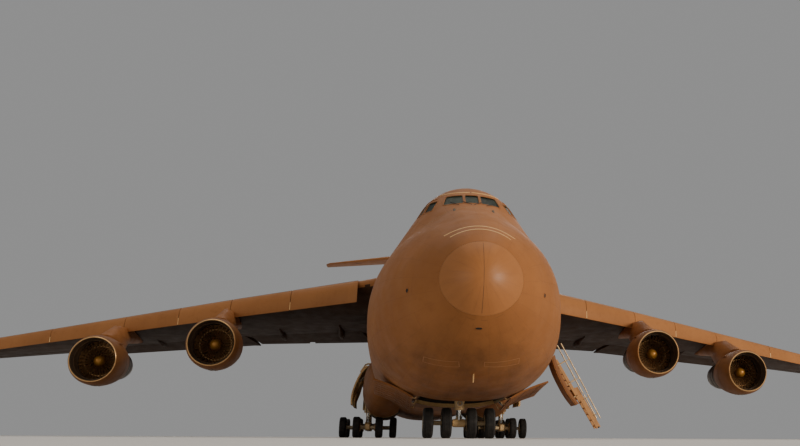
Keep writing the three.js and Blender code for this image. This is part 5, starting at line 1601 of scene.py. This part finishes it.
lug = [(-0.2, 1.72), (0.2, 1.72), (0.19, 1.44), (0.12, 1.3), (0, 1.255), (-0.12, 1.3), (-0.19, 1.44)]
lug_plate = cross_plate(smooth_outline(lug, 1), gy - 0.37, gy - 0.25)
lug_plate = minus(lug_plate, lathe([(-0.2, 0), (-0.2, 0.07), (0.2, 0.07), (0.2, 0)], (0, gy - 0.3, 1.42), "y", 28))
steer = [
    (cylinder(0, gy, 1.15, 1.764, 0.2), "cream"),
    (collar(0, gy, 1.7, 0.235, 0.1), "cream"),
    (collar(0, gy, 1.2, 0.225, 0.09), "cream"),
    (cylinder(0, gy, 0.62, 1.2, 0.112), "chrome"),
    (largest(lug_plate), "cream"),
    (block(-0.15, 0.15, gy - 0.27, gy - 0.12, 1.34, 1.66, 0.03), "cream"),
    (lathe([(-0.385, 0.075), (-0.385, 0.105), (-0.36, 0.11), (-0.36, 0.07)], (0, gy, 1.42), "y", 28, True), "steel"),
]
axle = minus(
    lathe([(-0.27, 0.12), (-0.25, 0.16), (-0.14, 0.17), (0.14, 0.17), (0.25, 0.16), (0.27, 0.12)], (0, gy, TYRE_R), "x", 28),
    lathe([(-0.5, 0), (-0.5, 0.112), (0.5, 0.112), (0.5, 0)], (0, gy, TYRE_R), "x", 28),
)
steer.append((axle, "cream"))
# torque links behind the piston
for d in (-1, 1):
    steer.append((bar([(d * 0.11, gy + 0.2, 1.28), (d * 0.05, gy + 0.46, 0.98)], 0.05, 0.08), "cream"))
    steer.append((bar([(d * 0.05, gy + 0.46, 0.98), (d * 0.11, gy + 0.16, 0.72)], 0.05, 0.08), "cream"))
steer.append((tube([(-0.1, gy + 0.46, 0.98), (0.1, gy + 0.46, 0.98)], 0.028, 12), "steel"))
steer.append((tube([(-0.15, gy + 0.2, 1.28), (0.15, gy + 0.2, 1.28)], 0.03, 12), "steel"))
steer.append((tube([(0.12, gy + 0.1, 1.6), (0.2, gy + 0.2, 1.3), (0.17, gy + 0.16, 0.95), (0.1, gy + 0.13, 0.75)], 0.014, 8), "hose"))
piece("nose_steering_fork", steer, "nose_steering", ["nose_steering"], smooth=40)

# ---------- nose gear doors ----------
def belly_at(y, x):
    _, w, zc, zb, _, _, n = station(BODY, y)
    return zc - (zc - zb) * (1 - (x / w) ** n) ** (1 / n)


hinge = [Vector((BAY["x"] + 0.1, y, belly_at(y, BAY["x"] + 0.1) - 0.06)) for y in (8, 11.4)]
door_axis = (hinge[1] - hinge[0]).normalized()
panel_box = box(0.02, BAY["x"] - 0.02, BAY["y0"] + 0.05, BAY["y1"] - 0.05, 0, 2.3)
skin_panel = minus(meet(outer, panel_box), within(BAY["door"]))
rib_region = minus(meet(within(BAY["door"] - 0.002), box(0.08, BAY["x"] - 0.1, BAY["y0"] + 0.12, BAY["y1"] - 0.12, 0, 2.3)), within(BAY["door"] + 0.012))
door_bits = [(largest(skin_panel), "paint_small")]
for k in range(7):
    a = BAY["y0"] + 0.2 + k * 0.56
    door_bits.append((meet(rib_region, box(0, 3, a, a + 0.05, 0, 3)), "paint_small"))
for a in (0.3, 0.95, 1.5):
    door_bits.append((meet(rib_region, box(a, a + 0.05, 0, 20, 0, 3)), "paint_small"))
door_bits = [(turn(turn(p, hinge[0], door_axis, -BAY["swing"]), hinge[0], (1, 0, 0), -BAY["drop"]), m) for p, m in door_bits if p[1]]
for a in (8.3, 9.7, 11.1):  # gooseneck hinge arms
    z = belly_at(a, BAY["x"] + 0.1)
    low = (a - 8) * math.tan(math.radians(BAY["drop"]))
    door_bits.append((bar([(BAY["x"] - 0.06, a, z + 0.28), (BAY["x"] + 0.02, a, z + 0.06 - low * 0.6), (BAY["x"] + 0.12, a, z - 0.05 - low), (BAY["x"] + 0.3, a, z - 0.02 - low)], 0.05, 0.06), "cream"))
door_bits.append((tube([(1.5, 10.9, 1.95), (2.1, 10.9, belly_at(10.9, 1.85) - 0.22)], 0.03, 10), "chrome"))
for side, f in (("left", lambda s: s), ("right", mirror)):
    piece(f"nose_gear_door_{side}_panel", [(f(p), m) for p, m in door_bits], "airframe", [f"nose_gear_door_{side}"], smooth=40)

# ---------- main gear ----------
for i, y in enumerate(MAIN_Y):
    for side, s in (("left", 1), ("right", -1)):
        at = ("rear_" if i else "front_") + side
        x = s * MAIN_X
        leg = [
            (cylinder(x, y, 1.5, 4.299, 0.24), "cream"),
            (collar(x, y, 1.56, 0.27, 0.12), "cream"),
            (collar(x, y, 2.5, 0.262, 0.1), "cream"),
            (collar(x, y, 3.5, 0.262, 0.1), "cream"),
            (cylinder(x, y, 0.7, 1.55, 0.13), "chrome"),
            (tube([(x + s * 0.3, y, 1.7), (x + s * 0.3, y + 1.4, 3.1)], 0.07, 14), "cream"),
            (tube([(x, y, 1.7), (x + s * 0.34, y, 1.7)], 0.07, 14), "cream"),
            (tube([(x + s * 0.3, y + 0.8, 2.5), (x + s * 0.3, y + 1.4, 3.1)], 0.045, 12), "chrome"),
            (tube([(x + s * 0.12, y - 0.26, 3.9), (x + s * 0.2, y - 0.3, 2.6), (x + s * 0.14, y - 0.28, 1.6), (x + s * 0.06, y - 0.5, 1.0)], 0.018, 8), "hose"),
            (tube([(x - s * 0.12, y - 0.26, 3.9), (x - s * 0.2, y - 0.3, 2.4), (x - s * 0.14, y - 0.28, 1.6), (x - s * 0.06, y - 0.5, 0.95)], 0.014, 8), "hose"),
        ]
        beam = loft(
            [
                [(x + a * w, y + d, TYRE_R + 0.02 + b * h) for a, b in ((-1, -0.75), (-0.8, -1), (0.8, -1), (1, -0.75), (1, 0.75), (0.8, 1), (-0.8, 1), (-1, 0.75))]
                for d, w, h in ((-1.02, 0.1, 0.13), (-0.95, 0.16, 0.19), (-0.6, 0.17, 0.19), (-0.2, 0.17, 0.23), (0.2, 0.17, 0.23), (0.6, 0.17, 0.19), (0.95, 0.16, 0.19), (1.02, 0.1, 0.13))
            ]
        )
        for d in (-BOGIE_HALF, BOGIE_HALF):
            beam = minus(beam, lathe([(-0.5, 0), (-0.5, 0.112), (0.5, 0.112), (0.5, 0)], (x, y + d, TYRE_R), "x", 28))
        leg.append((largest(beam), "cream"))
        leg.append((collar(x, y, 0.86, 0.2, 0.12), "cream"))
        for d in (-1, 1):  # torque links ahead of the piston
            leg.append((bar([(x + d * 0.13, y - 0.24, 1.54), (x + d * 0.06, y - 0.52, 1.22)], 0.05, 0.08), "cream"))
            leg.append((bar([(x + d * 0.06, y - 0.52, 1.22), (x + d * 0.13, y - 0.12, 0.9)], 0.05, 0.08), "cream"))
        leg.append((tube([(x - 0.12, y - 0.52, 1.22), (x + 0.12, y - 0.52, 1.22)], 0.028, 12), "steel"))
        for d in (-BOGIE_HALF, BOGIE_HALF):  # brakes in the inner wheels, with torque rods to the beam
            for e in (-1, 1):
                w = 0.67
                ring = [(e * (w - 0.26), 0.13), (e * (w - 0.26), 0.225), (e * (w - 0.235), 0.238), (e * (w - 0.1), 0.238), (e * (w - 0.1), 0.16), (e * (w - 0.235), 0.16), (e * (w - 0.235), 0.13)]
                leg.append((lathe(ring, (x, y + d, TYRE_R), "x", 28, True), "brake"))
                leg.append((tube([(x + e * (w - 0.25), y + d * 0.98, TYRE_R + 0.19), (x + e * 0.13, y + d * 0.72, TYRE_R + 0.16)], 0.03, 10), "steel"))
                for k in range(5):
                    t = math.radians(-50 + 55 * k)
                    leg.append((tube([(x + e * (w - 0.29), y + d + 0.185 * math.cos(t), TYRE_R + 0.185 * math.sin(t)), (x + e * (w - 0.25), y + d + 0.185 * math.cos(t), TYRE_R + 0.185 * math.sin(t))], 0.026, 8), "steel"))
        piece(f"main_leg_{at}_strut", leg, "airframe", [f"main_leg_{at}"], smooth=40)
        piece(f"main_twin_wheels_{at}_set", wheel_set(x, TWIN_X, y - BOGIE_HALF), f"main_twin_wheels_{at}", [f"main_twin_wheels_{at}"], smooth=40)
        piece(f"main_quad_wheels_{at}_set", wheel_set(x, QUAD_X, y + BOGIE_HALF), f"main_quad_wheels_{at}", [f"main_quad_wheels_{at}"], smooth=40)

# ---------- stage ----------
floor_paint = Paint("stage_floor")
c = floor_paint.mix(floor_paint.noise(floor_paint.at, 0.2, 3.0), srgb(214, 211, 206), srgb(206, 203, 198))
floor_paint.done(c, 0.85)
me = bpy.data.meshes.new("stage_floor")
R = 400
me.from_pydata([(-R, -R, 0), (R, -R, 0), (R, R, 0), (-R, R, 0)], [], [(0, 1, 2, 3)])
me.materials.append(MATERIALS["stage_floor"])
ground = bpy.data.objects.new("stage_floor", me)
bpy.context.scene.collection.objects.link(ground)

world = bpy.data.worlds.new("studio")
world.use_nodes = True
world.node_tree.nodes["Background"].inputs[0].default_value = (0.85, 0.85, 0.85, 1)
world.node_tree.nodes["Background"].inputs[1].default_value = 0.34
bpy.context.scene.world = world


def light(name, at, to, size, power, color=(1, 1, 1)):
    d = bpy.data.lights.new(name, "AREA")
    d.shape, d.size, d.size_y, d.energy, d.color = "RECTANGLE", size[0], size[1], power, color
    ob = bpy.data.objects.new(name, d)
    bpy.context.scene.collection.objects.link(ob)
    ob.location = at
    ob.rotation_mode = "QUATERNION"
    ob.rotation_quaternion = (Vector(to) - Vector(at)).to_track_quat("-Z", "Y")


light("key", (50, -56, 19), (0, -10, 3), (24, 20), 37000, (1.0, 0.9, 0.78))
light("fill", (-42, -52, 16), (0, -5, 2), (30, 20), 4000, (1.0, 0.94, 0.88))
light("top", (0, 6, 60), (0, 0, 0), (60, 60), 12000, (1.0, 0.93, 0.85))
light("back", (10, 70, 34), (0, 10, 3), (40, 20), 9000, (1.0, 0.95, 0.9))

cam = bpy.data.cameras.new("camera")
cam.sensor_width, cam.lens, cam.shift_x, cam.shift_y = 36.0, 40.314, -0.19045, 0.0
cam.clip_start, cam.clip_end = 0.1, 2000
eye = bpy.data.objects.new("camera", cam)
bpy.context.scene.collection.objects.link(eye)
yaw, pitch, roll = math.radians(10.14), math.radians(13.49), math.radians(0.28)
look = Vector((math.sin(yaw) * math.cos(pitch), math.cos(yaw) * math.cos(pitch), math.sin(pitch)))
eye.location = (-2.936 * SCALE, (-29.181 - Y0) * SCALE, 0.02)
eye.rotation_mode = "QUATERNION"
eye.rotation_quaternion = look.to_track_quat("-Z", "Y") @ Quaternion((0, 0, 1), roll)
bpy.context.scene.camera = eye
